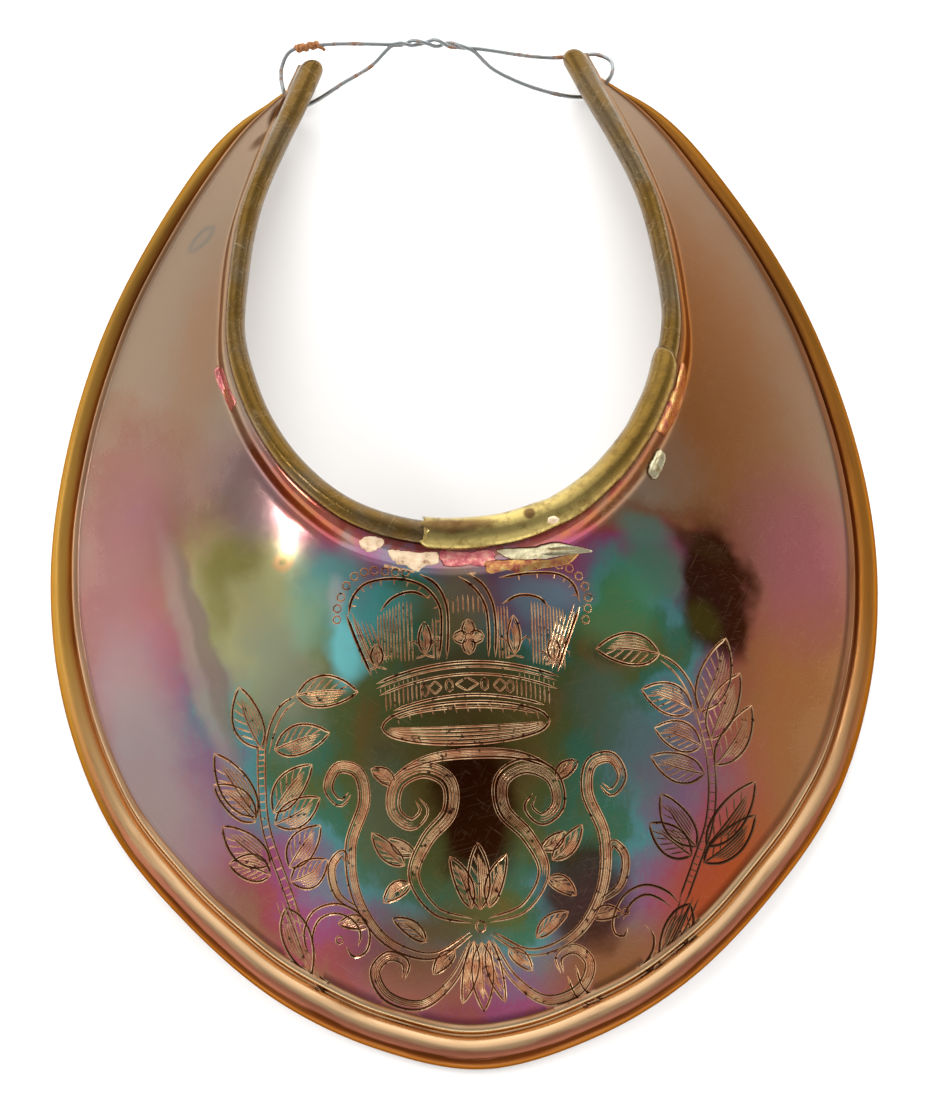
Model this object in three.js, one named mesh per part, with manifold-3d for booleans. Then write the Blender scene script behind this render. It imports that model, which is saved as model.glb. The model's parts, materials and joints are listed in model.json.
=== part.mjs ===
// A gorget: the crescent of sheet metal that an officer wore at the throat, lying on its back
// with the horns pointing to +Y and the front facing +Z. Millimetres.
//
// The plate is one sheet, domed both ways, with a raised line and a rolled bead round its outer
// edge. A split tube grips the turned-up neck edge, a later sleeve wraps part of that tube, and a
// closed loop of steel wire runs through one hole in each horn.
import * as THREE from "three";
import { mergeVertices } from "three/addons/utils/BufferGeometryUtils.js";
import Module from "manifold-3d";

const wasm = await Module();
wasm.setup();

// Driving dimensions
const WIDTH = 100.8; // across the outer edge
const LENGTH = 125.4; // from the lowest point up to the ends of the horns
const NECK_WIDTH = 51.2; // between the centres of the neck tube
const NECK_DEPTH = 65.1; // from the ends of the horns down to the centre of the neck tube
const SIDE_FALL = 24; // how far the dome falls from its middle line to the side edges
const END_FALL = 24; // how far the dome falls from its crown to half a length away
const CROWN = 0.4815; // where the dome is highest, as a share of the length below the horn ends
const SHEET = 0.8; // thickness of the plate
const BEAD_WIDTH = 3.6; // rolled bead round the outer edge
const BEAD_HEIGHT = 2.7;
const GROOVE_WIDTH = 0.35; // between the bead and the raised line
const LINE_WIDTH = 1.15; // raised line inside the bead
const LINE_HEIGHT = 0.5;
const NECK_RISE = 2.0; // how far the neck edge is turned up off the dome
const NECK_RAMP = 3.4; // width of the turn-up
const TUBE_RADIUS = 1.55; // neck tube
const TUBE_WALL = 0.42;
const TUBE_CLEARANCE = 0.3; // between the tube's lips and the sheet that they grip
const SHEET_ENTRY = 0.9; // how far the sheet reaches into the tube
const TUBE_END = 1.35; // how far the rounded ends of the tube stand past the plate
const SLEEVE_WALL = 0.3; // repair sleeve
const SLEEVE_CLEARANCE = 0.2;
const WIRE_RADIUS = 0.28; // hanging wire
const WIRE_CLEARANCE = 0.35;
const WIRE_ARCH = 7.3; // how far the wire's middle stands above its holes
const KNOT_RADIUS = 0.68; // where the ends of the wire are wrapped together
const HOLE_RADIUS = WIRE_RADIUS + WIRE_CLEARANCE;
const HOLE_MARGIN = 0.15; // between the neck tube's lips and a hole
const LEAST_FIELD = 3; // plain sheet left between the turn-up and the raised line

// How much room the turn-up, raised line and bead need before the horns make them narrower
const FULL_ROOM = NECK_RAMP + LEAST_FIELD + LINE_WIDTH + GROOVE_WIDTH + BEAD_WIDTH;
const NECK_SEAT = TUBE_RADIUS + TUBE_CLEARANCE; // from the tube's centre to the foot of the lips

// The outline, from the bottom of the crescent up to the end of one horn. The neck tube's centre
// stands at neckOut of half the neck width, and neckDown of the neck depth below the horn ends.
// The edge stands out from the tube's seat by breadth, a share of the plate's breadth at the
// side, and edgeDown of the length below the horn ends.
const OUTLINE = [
  { neckOut: 0.0, neckDown: 1.0, breadth: 0.0, edgeDown: 1.0, bead: 1.0 },
  { neckOut: 0.246, neckDown: 0.988, breadth: 0.261, edgeDown: 0.977, bead: 1.0 },
  { neckOut: 0.5, neckDown: 0.945, breadth: 0.476, edgeDown: 0.926, bead: 1.0 },
  { neckOut: 0.719, neckDown: 0.865, breadth: 0.697, edgeDown: 0.843, bead: 0.98 },
  { neckOut: 0.855, neckDown: 0.783, breadth: 0.895, edgeDown: 0.752, bead: 0.96 },
  { neckOut: 0.941, neckDown: 0.7, breadth: 1.011, edgeDown: 0.637, bead: 0.94 },
  { neckOut: 1.0, neckDown: 0.594, breadth: 1.0, edgeDown: 0.523, bead: 0.92 },
  { neckOut: 0.985, neckDown: 0.472, breadth: 0.946, edgeDown: 0.412, bead: 0.9 },
  { neckOut: 0.926, neckDown: 0.326, breadth: 0.794, edgeDown: 0.278, bead: 0.88 },
  { neckOut: 0.809, neckDown: 0.195, breadth: 0.57, edgeDown: 0.148, bead: 0.84 },
  { neckOut: 0.711, neckDown: 0.098, breadth: 0.346, edgeDown: 0.057, bead: 0.8 },
  { neckOut: 0.621, neckDown: 0.0, breadth: 0.052, edgeDown: 0.0, bead: 0.76 },
];
const LAST_ROW = OUTLINE.length - 1;
const STEPS_PER_ROW = 3;

// Where the sleeve starts and ends, and where the holes are, as rows of the outline. Rows count
// from the bottom and are negative on the left.
const SLEEVE_FROM = -2 / 3;
const SLEEVE_TO = 16 / 3;
const HOLE_ROW = LAST_ROW - 0.55;

const SEAT_OUT = NECK_WIDTH / 2 + NECK_SEAT; // where the plate comes clear of the tube, at the side
const BREADTH = WIDTH / 2 - SEAT_OUT;

function mirrored(place) {
  const point = (row, side) => {
    const { out, down } = place(row);
    return new THREE.Vector3(side * out, -down, 0);
  };
  const left = OUTLINE.slice(1).reverse().map((row) => point(row, -1));
  const right = OUTLINE.map((row) => point(row, 1));
  return new THREE.CatmullRomCurve3([...left, ...right], false, "centripetal");
}

const neckCurve = mirrored(({ neckOut, neckDown }) => ({
  out: (neckOut * NECK_WIDTH) / 2,
  down: neckDown * NECK_DEPTH,
}));
const edgeCurve = mirrored(({ neckOut, breadth, edgeDown }) => ({
  out: neckOut * SEAT_OUT + breadth * BREADTH,
  down: edgeDown * LENGTH,
}));

// Height of the plate's front face, and the direction square to it
function domePoint(x, y) {
  const across = x / (WIDTH / 2);
  const along = (y + CROWN * LENGTH) / (LENGTH / 2);
  return new THREE.Vector3(x, y, -SIDE_FALL * across ** 2 - END_FALL * along ** 2);
}

function domeNormal(x, y) {
  const slopeX = (-2 * SIDE_FALL * x) / (WIDTH / 2) ** 2;
  const slopeY = (-2 * END_FALL * (y + CROWN * LENGTH)) / (LENGTH / 2) ** 2;
  return new THREE.Vector3(-slopeX, -slopeY, 1).normalize();
}

// One station of the crescent: where it starts and ends, and how wide it is along the dome
function station(row) {
  const share = (row + LAST_ROW) / (2 * LAST_ROW);
  const neck = neckCurve.getPoint(share);
  const edge = edgeCurve.getPoint(share);
  const out = edge.clone().sub(neck);
  const plan = out.length();
  out.normalize();
  const rise = domePoint(edge.x, edge.y).z - domePoint(neck.x, neck.y).z;
  const width = Math.hypot(plan, rise);
  const below = Math.floor(Math.abs(row));
  const above = Math.min(below + 1, LAST_ROW);
  const bead = THREE.MathUtils.lerp(OUTLINE[below].bead, OUTLINE[above].bead, Math.abs(row) - below);
  return { neck, out, plan, width, bead };
}

// A point of the station's section: a distance out from the neck and a height off the dome
function placed(at, { t, h }) {
  const reach = (t / at.width) * at.plan;
  const x = at.neck.x + at.out.x * reach;
  const y = at.neck.y + at.out.y * reach;
  return domePoint(x, y).addScaledVector(domeNormal(x, y), h);
}

// The neck edge's own frame, in which the tube and the sleeve are round
function placedRound(at, { t, h }) {
  const normal = domeNormal(at.neck.x, at.neck.y);
  const sideways = at.out.clone().addScaledVector(normal, -at.out.dot(normal)).normalize();
  return domePoint(at.neck.x, at.neck.y).addScaledVector(sideways, t).addScaledVector(normal, h);
}

function rowsBetween(first, last) {
  const count = Math.round((last - first) * STEPS_PER_ROW);
  return Array.from({ length: count + 1 }, (_, i) => first + ((last - first) * i) / count);
}

// A closed body through a list of rings, with its two ends capped unless the rings close on
// themselves
function loft(rings, contour, closed = false) {
  const perRing = rings[0].length;
  const positions = rings.flat().flatMap((point) => point.toArray());
  const index = [];
  const spans = closed ? rings.length : rings.length - 1;
  for (let ring = 0; ring < spans; ring += 1) {
    for (let i = 0; i < perRing; i += 1) {
      const next = (i + 1) % perRing;
      const here = ring * perRing;
      const there = ((ring + 1) % rings.length) * perRing;
      index.push(here + i, here + next, there + next, here + i, there + next, there + i);
    }
  }
  if (!closed) {
    const outline = contour.map(({ t, h }) => new THREE.Vector2(t, h));
    const turned = THREE.ShapeUtils.isClockWise(outline);
    const last = (rings.length - 1) * perRing;
    for (const [a, b, c] of THREE.ShapeUtils.triangulateShape(outline, [])) {
      index.push(...(turned ? [a, b, c] : [a, c, b]));
      index.push(...(turned ? [last + a, last + c, last + b] : [last + a, last + b, last + c]));
    }
  }
  const geometry = new THREE.BufferGeometry();
  geometry.setAttribute("position", new THREE.Float32BufferAttribute(positions, 3));
  geometry.setIndex(index);
  return facingOut(geometry);
}

function facingOut(geometry) {
  const position = geometry.getAttribute("position");
  const index = geometry.getIndex().array;
  const [a, b, c] = [new THREE.Vector3(), new THREE.Vector3(), new THREE.Vector3()];
  let volume = 0;
  for (let i = 0; i < index.length; i += 3) {
    a.fromBufferAttribute(position, index[i]);
    b.fromBufferAttribute(position, index[i + 1]);
    c.fromBufferAttribute(position, index[i + 2]);
    volume += a.dot(b.cross(c)) / 6;
  }
  if (volume < 0) {
    const flipped = [];
    for (let i = 0; i < index.length; i += 3) {
      flipped.push(index[i], index[i + 2], index[i + 1]);
    }
    geometry.setIndex(flipped);
  }
  return geometry;
}

function toSolid(geometry) {
  const bare = new THREE.BufferGeometry();
  bare.setAttribute("position", geometry.getAttribute("position").clone());
  bare.setIndex(geometry.getIndex() ? geometry.getIndex().clone() : null);
  const merged = mergeVertices(bare, 1e-4);
  return new wasm.Manifold(
    new wasm.Mesh({
      numProp: 3,
      vertProperties: new Float32Array(merged.getAttribute("position").array),
      triVerts: new Uint32Array(merged.getIndex().array),
    }),
  );
}

function fromSolid(solid) {
  const mesh = solid.getMesh();
  const geometry = new THREE.BufferGeometry();
  geometry.setAttribute("position", new THREE.Float32BufferAttribute(mesh.vertProperties, 3));
  geometry.setIndex([...mesh.triVerts]);
  return geometry;
}

// Plate
// The section's front face runs out from the neck edge over the turn-up, the field, the raised
// line, the groove and the bead. The back face returns under it, one sheet lower.
const RAMP = [
  { along: 0.0, rise: 1.0 },
  { along: 0.28, rise: 0.82 },
  { along: 0.6, rise: 0.3 },
  { along: 1.0, rise: 0.0 },
];
const LINE_SHOULDERS = [0.28, 0.72]; // where the raised line's top starts and ends
const FIELD_STEPS = 5;
const BEAD_ANGLES = [150, 120, 90, 60, 30, 0, -30, -60, -90];

function plateSection({ width, bead }) {
  const room = width - NECK_SEAT;
  const fit = room / (room ** 4 + FULL_ROOM ** 4) ** 0.25;
  const beadWide = (BEAD_WIDTH / 2) * bead * fit;
  const beadHigh = Math.max((BEAD_HEIGHT / 2) * bead * fit, SHEET / 2);
  const lineEnd = width - 2 * beadWide - GROOVE_WIDTH * fit;
  const lineStart = lineEnd - LINE_WIDTH * fit;
  const rampEnd = NECK_SEAT + NECK_RAMP * fit;
  const lift = NECK_RISE + SHEET / 2;
  const sheetLine = [{ t: TUBE_RADIUS - TUBE_WALL - SHEET_ENTRY, h: lift }];
  for (const { along, rise } of RAMP) {
    sheetLine.push({ t: THREE.MathUtils.lerp(NECK_SEAT, rampEnd, along), h: lift * rise });
  }
  for (let i = 1; i <= FIELD_STEPS; i += 1) {
    sheetLine.push({ t: THREE.MathUtils.lerp(rampEnd, lineStart, i / FIELD_STEPS), h: 0 });
  }
  const line = LINE_SHOULDERS.map((share) => ({
    t: THREE.MathUtils.lerp(lineStart, lineEnd, share),
    h: LINE_HEIGHT * fit,
  }));
  line.push({ t: lineEnd, h: 0 });
  const beadArc = BEAD_ANGLES.map((degrees) => {
    const angle = THREE.MathUtils.degToRad(degrees);
    return {
      t: width - beadWide + beadWide * Math.cos(angle),
      h: beadHigh - SHEET + beadHigh * Math.sin(angle),
    };
  });
  const back = sheetLine.map(({ t, h }) => ({ t, h: h - SHEET })).reverse();
  return [...sheetLine, ...line, ...beadArc, ...back];
}

function holeFrame(side) {
  const at = station(side * HOLE_ROW);
  const foot = { t: NECK_SEAT + HOLE_RADIUS + HOLE_MARGIN, h: 0 };
  const centre = placed(at, foot);
  return { centre, normal: domeNormal(centre.x, centre.y) };
}

function drill(side) {
  const { centre, normal } = holeFrame(side);
  const cutter = new THREE.CylinderGeometry(HOLE_RADIUS, HOLE_RADIUS, 10 * SHEET, 16);
  cutter.applyQuaternion(new THREE.Quaternion().setFromUnitVectors(new THREE.Vector3(0, 1, 0), normal));
  cutter.translate(centre.x, centre.y, centre.z);
  return toSolid(cutter);
}

function plateGeometry() {
  const stations = rowsBetween(-LAST_ROW, LAST_ROW).map(station);
  const rings = stations.map((at) => plateSection(at).map((point) => placed(at, point)));
  const body = toSolid(loft(rings, plateSection(stations[0])));
  return fromSolid(body.subtract(drill(-1)).subtract(drill(1)));
}

// Neck tube and sleeve
// Both are rings with a slot that faces the plate, so that the turned-up edge can pass through.
function slotRing(outer, wall, slot, sides) {
  const gap = Math.asin(slot / 2 / (outer - wall));
  const angles = Array.from({ length: sides + 1 }, (_, i) => gap + ((2 * Math.PI - 2 * gap) * i) / sides);
  const arc = (radius) => angles.map((a) => ({ t: radius * Math.cos(a), h: radius * Math.sin(a) }));
  return [...arc(outer), ...arc(outer - wall).reverse()];
}

const SLOT = SHEET + 2 * TUBE_CLEARANCE;
const RING_SIDES = 10;

function alongNeck(rows, ring) {
  return rows.map((row) => {
    const at = station(row);
    return ring.map(({ t, h }) => placedRound(at, { t, h: NECK_RISE + h }));
  });
}

// The tube's ends round off over two rings past the plate
const ROUNDING = [
  { reach: 0.6, size: 0.86 },
  { reach: 1.0, size: 0.55 },
];

function roundedEnd(end, inner) {
  const centre = new THREE.Vector3();
  end.forEach((point) => centre.add(point));
  centre.divideScalar(end.length);
  const ahead = end[0].clone().sub(inner[0]).normalize();
  return ROUNDING.map(({ reach, size }) =>
    end.map((point) => centre.clone().lerp(point, size).addScaledVector(ahead, reach * TUBE_END)),
  );
}

function tubeGeometry() {
  const ring = slotRing(TUBE_RADIUS, TUBE_WALL, SLOT, RING_SIDES);
  const rings = alongNeck(rowsBetween(-LAST_ROW, LAST_ROW), ring);
  const start = roundedEnd(rings[0], rings[1]).reverse();
  const finish = roundedEnd(rings.at(-1), rings.at(-2));
  return loft([...start, ...rings, ...finish], ring);
}

function sleeveGeometry() {
  const outer = TUBE_RADIUS + SLEEVE_CLEARANCE + SLEEVE_WALL;
  const ring = slotRing(outer, SLEEVE_WALL, SLOT + 2 * SLEEVE_CLEARANCE, RING_SIDES);
  return loft(alongNeck(rowsBetween(SLEEVE_FROM, SLEEVE_TO), ring), ring);
}

// Hanging wire
// Across is a share of half the distance between the holes, up is a share of the arch, and front
// is a height over the line between the holes. The upper strand runs from the left hole over the
// front of the horn to the knot and on to the right horn, which it passes under and comes round.
// The lower strand returns behind the neck tube. The two are twisted together in the middle.
const UPPER_STRAND = [
  { across: -1.03, up: 0.15, front: 1.7 },
  { across: -1.04, up: 0.38, front: 1.3 },
  { across: -1.03, up: 0.62, front: 1.1 },
  { across: -0.97, up: 0.9, front: 1.2, knot: true },
  { across: -0.75, up: 0.97, front: 1.4, knot: true },
  { across: -0.52, up: 0.95, front: 1.4 },
];
const RIGHT_HORN = [
  { across: 0.5, up: 0.7, front: -0.1 },
  { across: 0.7, up: 0.7, front: -1.5 },
  { across: 0.87, up: 0.7, front: -1.5 },
  { across: 0.99, up: 0.68, front: -0.6 },
  { across: 1.08, up: 0.5, front: 0.4 },
  { across: 1.08, up: 0.22, front: 1.3 },
];
const LOWER_RIGHT = [
  { across: 0.93, up: -0.06, front: -1.1 },
  { across: 0.78, up: -0.04, front: -0.5 },
  { across: 0.52, up: 0.14, front: 0.4 },
  { across: 0.32, up: 0.42, front: 1.0 },
];
const LOWER_LEFT = [
  { across: -0.46, up: 0.58, front: 1.0 },
  { across: -0.62, up: 0.34, front: 0.5 },
  { across: -0.8, up: 0.07, front: -0.4 },
  { across: -0.93, up: -0.04, front: -1.1 },
];
const TWIST = { from: -0.32, to: 0.2, turns: 2, steps: 12 };
const TWIST_UP = { start: 0.92, end: 0.78, swell: 0.08 }; // shares of the arch
const TWIST_FRONT = 1.2;
const WIRE_STEPS = 96;
const WIRE_SIDES = 7;

function wireRoute() {
  const left = holeFrame(-1);
  const right = holeFrame(1);
  const middle = left.centre.clone().add(right.centre).multiplyScalar(0.5);
  const half = right.centre.distanceTo(left.centre) / 2;
  const at = ({ across, up, front }) =>
    new THREE.Vector3(middle.x + across * half, middle.y + up * WIRE_ARCH, middle.z + front);
  const through = ({ centre, normal }, depth) => centre.clone().addScaledVector(normal, depth);
  const twisted = (phase) =>
    Array.from({ length: TWIST.steps + 1 }, (_, i) => {
      const share = i / TWIST.steps;
      const angle = phase + 2 * Math.PI * TWIST.turns * share;
      const across = THREE.MathUtils.lerp(TWIST.from, TWIST.to, share);
      const swell = TWIST_UP.swell * Math.sin(Math.PI * share);
      const up = THREE.MathUtils.lerp(TWIST_UP.start, TWIST_UP.end, share) + swell;
      const spread = WIRE_RADIUS + WIRE_CLEARANCE / 2;
      const offset = new THREE.Vector3(0, spread * Math.cos(angle), spread * Math.sin(angle));
      return at({ across, up, front: TWIST_FRONT }).add(offset);
    });
  const above = WIRE_RADIUS;
  const below = -(SHEET + WIRE_RADIUS);
  const path = new THREE.CatmullRomCurve3(
    [
      through(left, above),
      ...UPPER_STRAND.map(at),
      ...twisted(0),
      ...RIGHT_HORN.map(at),
      through(right, above),
      through(right, below),
      ...LOWER_RIGHT.map(at),
      ...twisted(Math.PI).reverse(),
      ...LOWER_LEFT.map(at),
      through(left, below),
    ],
    true,
    "centripetal",
  );
  return { path, knotEnds: UPPER_STRAND.filter(({ knot }) => knot).map(at) };
}

function wireRings(path, steps, sides) {
  const frames = path.computeFrenetFrames(steps, true);
  return Array.from({ length: steps }, (_, i) => {
    const centre = path.getPointAt(i / steps);
    return Array.from({ length: sides }, (_, k) => {
      const angle = (2 * Math.PI * k) / sides;
      return centre
        .clone()
        .addScaledVector(frames.normals[i], WIRE_RADIUS * Math.cos(angle))
        .addScaledVector(frames.binormals[i], WIRE_RADIUS * Math.sin(angle));
    });
  });
}

// The knot is a barrel round the strand between two of its points
function knotSolid([from, to]) {
  const along = to.clone().sub(from);
  const half = along.length() / 2;
  const profile = [
    [0, -half],
    [KNOT_RADIUS * 0.7, -half],
    [KNOT_RADIUS, -half * 0.6],
    [KNOT_RADIUS * 0.82, -half * 0.1],
    [KNOT_RADIUS, half * 0.4],
    [KNOT_RADIUS * 0.62, half],
    [0, half],
  ].map(([radius, height]) => new THREE.Vector2(radius, height));
  const barrel = new THREE.LatheGeometry(profile, 10);
  const turn = new THREE.Quaternion().setFromUnitVectors(new THREE.Vector3(0, 1, 0), along.normalize());
  barrel.applyQuaternion(turn);
  const centre = from.clone().lerp(to, 0.5);
  barrel.translate(centre.x, centre.y, centre.z);
  return toSolid(barrel);
}

function wireGeometry() {
  const { path, knotEnds } = wireRoute();
  const strand = toSolid(loft(wireRings(path, WIRE_STEPS, WIRE_SIDES), null, true));
  return fromSolid(strand.add(knotSolid(knotEnds)));
}

// Assembly
function metal(color, roughness, metalness = 1) {
  return new THREE.MeshStandardMaterial({ color, roughness, metalness });
}

function piece(name, geometry, material) {
  const mesh = new THREE.Mesh(geometry, material);
  mesh.name = name;
  return mesh;
}

const gorget = new THREE.Group();
gorget.add(
  piece("plate", plateGeometry(), metal(0xa98573, 0.26)),
  piece("neck_tube", tubeGeometry(), metal(0x8d7a55, 0.38)),
  piece("repair_sleeve", sleeveGeometry(), metal(0xb48a4c, 0.34)),
  piece("hanging_wire", wireGeometry(), metal(0x8b9499, 0.45)),
);

// The origin is under the middle of the whole, on the surface that it lies on
const bounds = new THREE.Box3().setFromObject(gorget);
const origin = bounds.getCenter(new THREE.Vector3()).setZ(bounds.min.z);
gorget.children.forEach((mesh) => mesh.position.sub(origin));

export default gorget;
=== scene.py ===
# %% [markdown]
# A gorget is the last piece of armour that officers kept: a small crescent of gilt metal hung at
# the throat. This one is domed, has a rolled border, an engraved crown between laurel branches,
# and a century or two of tarnish in every colour of a soap film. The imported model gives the
# frame: its pieces, their sizes and where they lie. Everything here is built in that frame.

# %% Load the frame
import json
import math
import bmesh
import bpy
import numpy as np
from mathutils import Matrix, Vector
from mathutils.bvhtree import BVHTree
from mathutils.kdtree import KDTree

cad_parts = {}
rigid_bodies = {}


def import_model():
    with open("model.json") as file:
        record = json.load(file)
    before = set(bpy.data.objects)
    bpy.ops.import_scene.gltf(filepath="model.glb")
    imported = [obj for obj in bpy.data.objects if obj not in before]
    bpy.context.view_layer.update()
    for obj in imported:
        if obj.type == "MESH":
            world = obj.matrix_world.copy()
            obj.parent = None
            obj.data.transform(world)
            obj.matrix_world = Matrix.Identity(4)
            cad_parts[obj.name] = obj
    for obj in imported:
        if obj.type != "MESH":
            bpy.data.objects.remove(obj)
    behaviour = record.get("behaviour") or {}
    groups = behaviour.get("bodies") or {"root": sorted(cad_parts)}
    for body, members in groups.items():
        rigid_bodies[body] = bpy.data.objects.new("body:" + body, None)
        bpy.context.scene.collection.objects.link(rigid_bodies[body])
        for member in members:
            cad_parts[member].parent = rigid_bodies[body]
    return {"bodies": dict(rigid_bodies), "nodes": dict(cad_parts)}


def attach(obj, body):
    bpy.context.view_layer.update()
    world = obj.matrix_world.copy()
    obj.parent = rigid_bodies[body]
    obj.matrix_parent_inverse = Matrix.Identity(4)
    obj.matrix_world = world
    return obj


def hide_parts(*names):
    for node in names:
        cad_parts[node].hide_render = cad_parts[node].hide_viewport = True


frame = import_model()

for thing in list(bpy.data.objects):
    if thing not in [*frame["bodies"].values(), *frame["nodes"].values()]:
        bpy.data.objects.remove(thing)
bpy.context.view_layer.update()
MM = 0.001

# %% [markdown]
# The photograph looks down on the front, a little from below the point, with the horns leaning
# slightly to the left. A long lens keeps the outline flat, as it is there. The camera's axes are
# worked out from its tilt and roll, so the same two angles give its place and its direction.

# %% Camera
IMAGE_HEIGHT = 1100
AIM = Vector((0.0, -3.25, 14.0)) * MM
DISTANCE = 600 * MM
TILT = math.radians(11.6)
ROLL = math.radians(-2.3)
PIXELS_PER_MM = 8.247

forward = Vector((0, math.sin(TILT), -math.cos(TILT)))
level_up = Vector((0, math.cos(TILT), math.sin(TILT)))
level_right = Vector((1, 0, 0))
right = math.cos(ROLL) * level_right + math.sin(ROLL) * level_up
up = math.cos(ROLL) * level_up - math.sin(ROLL) * level_right

lens = bpy.data.cameras.new("camera")
camera = bpy.data.objects.new("camera", lens)
bpy.context.scene.collection.objects.link(camera)
bpy.context.scene.camera = camera
turn = Matrix((right, up, -forward)).transposed().to_4x4()
camera.matrix_world = Matrix.Translation(AIM - DISTANCE * forward) @ turn
lens.sensor_width = 36
lens.lens = PIXELS_PER_MM * (DISTANCE / MM) * lens.sensor_width / IMAGE_HEIGHT
lens.clip_start, lens.clip_end = 0.02, 10
print("lens, mm:", round(lens.lens, 1))

# %% [markdown]
# Polished metal shows the room rather than its own light and shade. The room here is bright low
# down, like white card standing round the table, brightest on the window's side and never quite
# even, and dimmer overhead, where the camera is. That is what leaves the middle of the dome deep
# in colour and the horns pale. High behind the horns there is one more pale window: only the
# steep inner side of the border sees it, and it draws the bright line along the bottom.

# %% Room
ROOM_BRIGHTNESS = [(0.0, 1.0), (0.3, 0.98), (0.6, 0.74), (0.86, 0.5), (1.0, 0.42)]
scene = bpy.context.scene
scene.view_settings.view_transform = "Standard"
world = bpy.data.worlds.new("room")
scene.world = world
world.use_nodes = True
sky = world.node_tree
sky.nodes.clear()


def room_node(kind, feeds, **settings):
    """A node of the room's tree, fed by other nodes or by plain values."""
    node = sky.nodes.new("ShaderNode" + kind)
    for key, value in settings.items():
        setattr(node, key, value)
    for socket, value in feeds.items():
        if isinstance(value, bpy.types.NodeSocket):
            sky.links.new(value, node.inputs[socket])
        else:
            node.inputs[socket].default_value = value
    return node


def room_span(value, low, high, to_low, to_high, how="SMOOTHSTEP"):
    feeds = {"Value": value, "From Min": low, "From Max": high, "To Min": to_low, "To Max": to_high}
    return room_node("MapRange", feeds, interpolation_type=how).outputs["Result"]


heading = room_node("TexCoord", {}).outputs["Generated"]
way = room_node("SeparateXYZ", {0: heading}).outputs
patches = room_node("TexNoise", {"Vector": heading, "Scale": 1.5, "Detail": 2.0}).outputs["Fac"]
uneven = room_span(patches, 0.36, 0.64, 0.72, 1.12, "LINEAR")
leftward = room_node("Math", {0: way["X"], 1: -0.2, 2: 1.0}, operation="MULTIPLY_ADD").outputs[0]
strength = room_node("Math", {0: uneven, 1: leftward}, operation="MULTIPLY").outputs[0]
aside = room_node("Math", {0: way["X"]}, operation="ABSOLUTE").outputs[0]
behind = room_span(way["Y"], 0.12, 0.42, 0.0, 0.9)
feeds = {0: behind, 1: room_span(aside, 0.28, 0.55, 1.0, 0.0), 2: strength}
strength = room_node("Math", feeds, operation="MULTIPLY_ADD").outputs[0]
shade = room_node("ValToRGB", {"Fac": way["Z"]})
shade.color_ramp.interpolation = "B_SPLINE"
while len(shade.color_ramp.elements) < len(ROOM_BRIGHTNESS):
    shade.color_ramp.elements.new(0.5)
for element, (height, value) in zip(shade.color_ramp.elements, ROOM_BRIGHTNESS):
    element.position = height
    element.color = (value, value * 0.99, value * 0.975, 1)
glow = room_node("Background", {"Color": shade.outputs["Color"], "Strength": strength})
room_node("OutputWorld", {"Surface": glow.outputs[0]})

# %% [markdown]
# Four large fills light the floor and are kept out of the metal, where they would be four bright
# blots. Two small lights are seen in it: together they make the tall window gleam beside the
# neck, which narrows towards its foot. The floor is plain white card.

# %% Floor and lights
def area_light(name, place, target, size, power, tall=None):
    lamp = bpy.data.lights.new(name, "AREA")
    lamp.energy = power
    lamp.size = size
    if tall:
        lamp.shape = "RECTANGLE"
        lamp.size_y = tall
    holder = bpy.data.objects.new(name, lamp)
    scene.collection.objects.link(holder)
    holder.location = place
    holder.rotation_euler = (Vector(target) - Vector(place)).to_track_quat("-Z", "Y").to_euler()
    return holder


FLOOR_HALF = 1.6
floor_mesh = bpy.data.meshes.new("floor")
corners = [(-FLOOR_HALF, -FLOOR_HALF, 0), (FLOOR_HALF, -FLOOR_HALF, 0),
           (FLOOR_HALF, FLOOR_HALF, 0), (-FLOOR_HALF, FLOOR_HALF, 0)]
floor_mesh.from_pydata(corners, [], [(0, 1, 2, 3)])
floor = bpy.data.objects.new("floor", floor_mesh)
floor.location.z = -0.02 * MM
scene.collection.objects.link(floor)
card = bpy.data.materials.new("white_card")
card.use_nodes = True
card.node_tree.nodes["Principled BSDF"].inputs["Base Color"].default_value = (0.93, 0.93, 0.925, 1)
card.node_tree.nodes["Principled BSDF"].inputs["Roughness"].default_value = 0.9
floor_mesh.materials.append(card)
FILLS = [("fill_left", (-1.1, 0.25, 0.8), 12), ("fill_right", (1.1, 0.1, 0.8), 12),
         ("fill_horns", (0.0, 1.1, 0.7), 16), ("fill_front", (0.0, -1.2, 0.7), 8)]
for name, place, power in FILLS:
    area_light(name, place, (0, 0.01, 0), 0.9, power).visible_glossy = False
GLEAM = (-0.0195, 0, 0.022)
area_light("window", (-0.575, 0.19, 0.6), GLEAM, 0.07, 0.55, 0.085)
area_light("window_foot", (-0.59, 0.12, 0.6), GLEAM, 0.07, 0.16, 0.035)

# %% [markdown]
# The plate's shape is a dome that falls away from a crown, cut to a crescent. Both edges of the
# crescent are smooth curves through a dozen points, and each cross section runs from the neck
# edge to the border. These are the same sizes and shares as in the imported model, so the fine
# surface built here lies where the plain one does.

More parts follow.
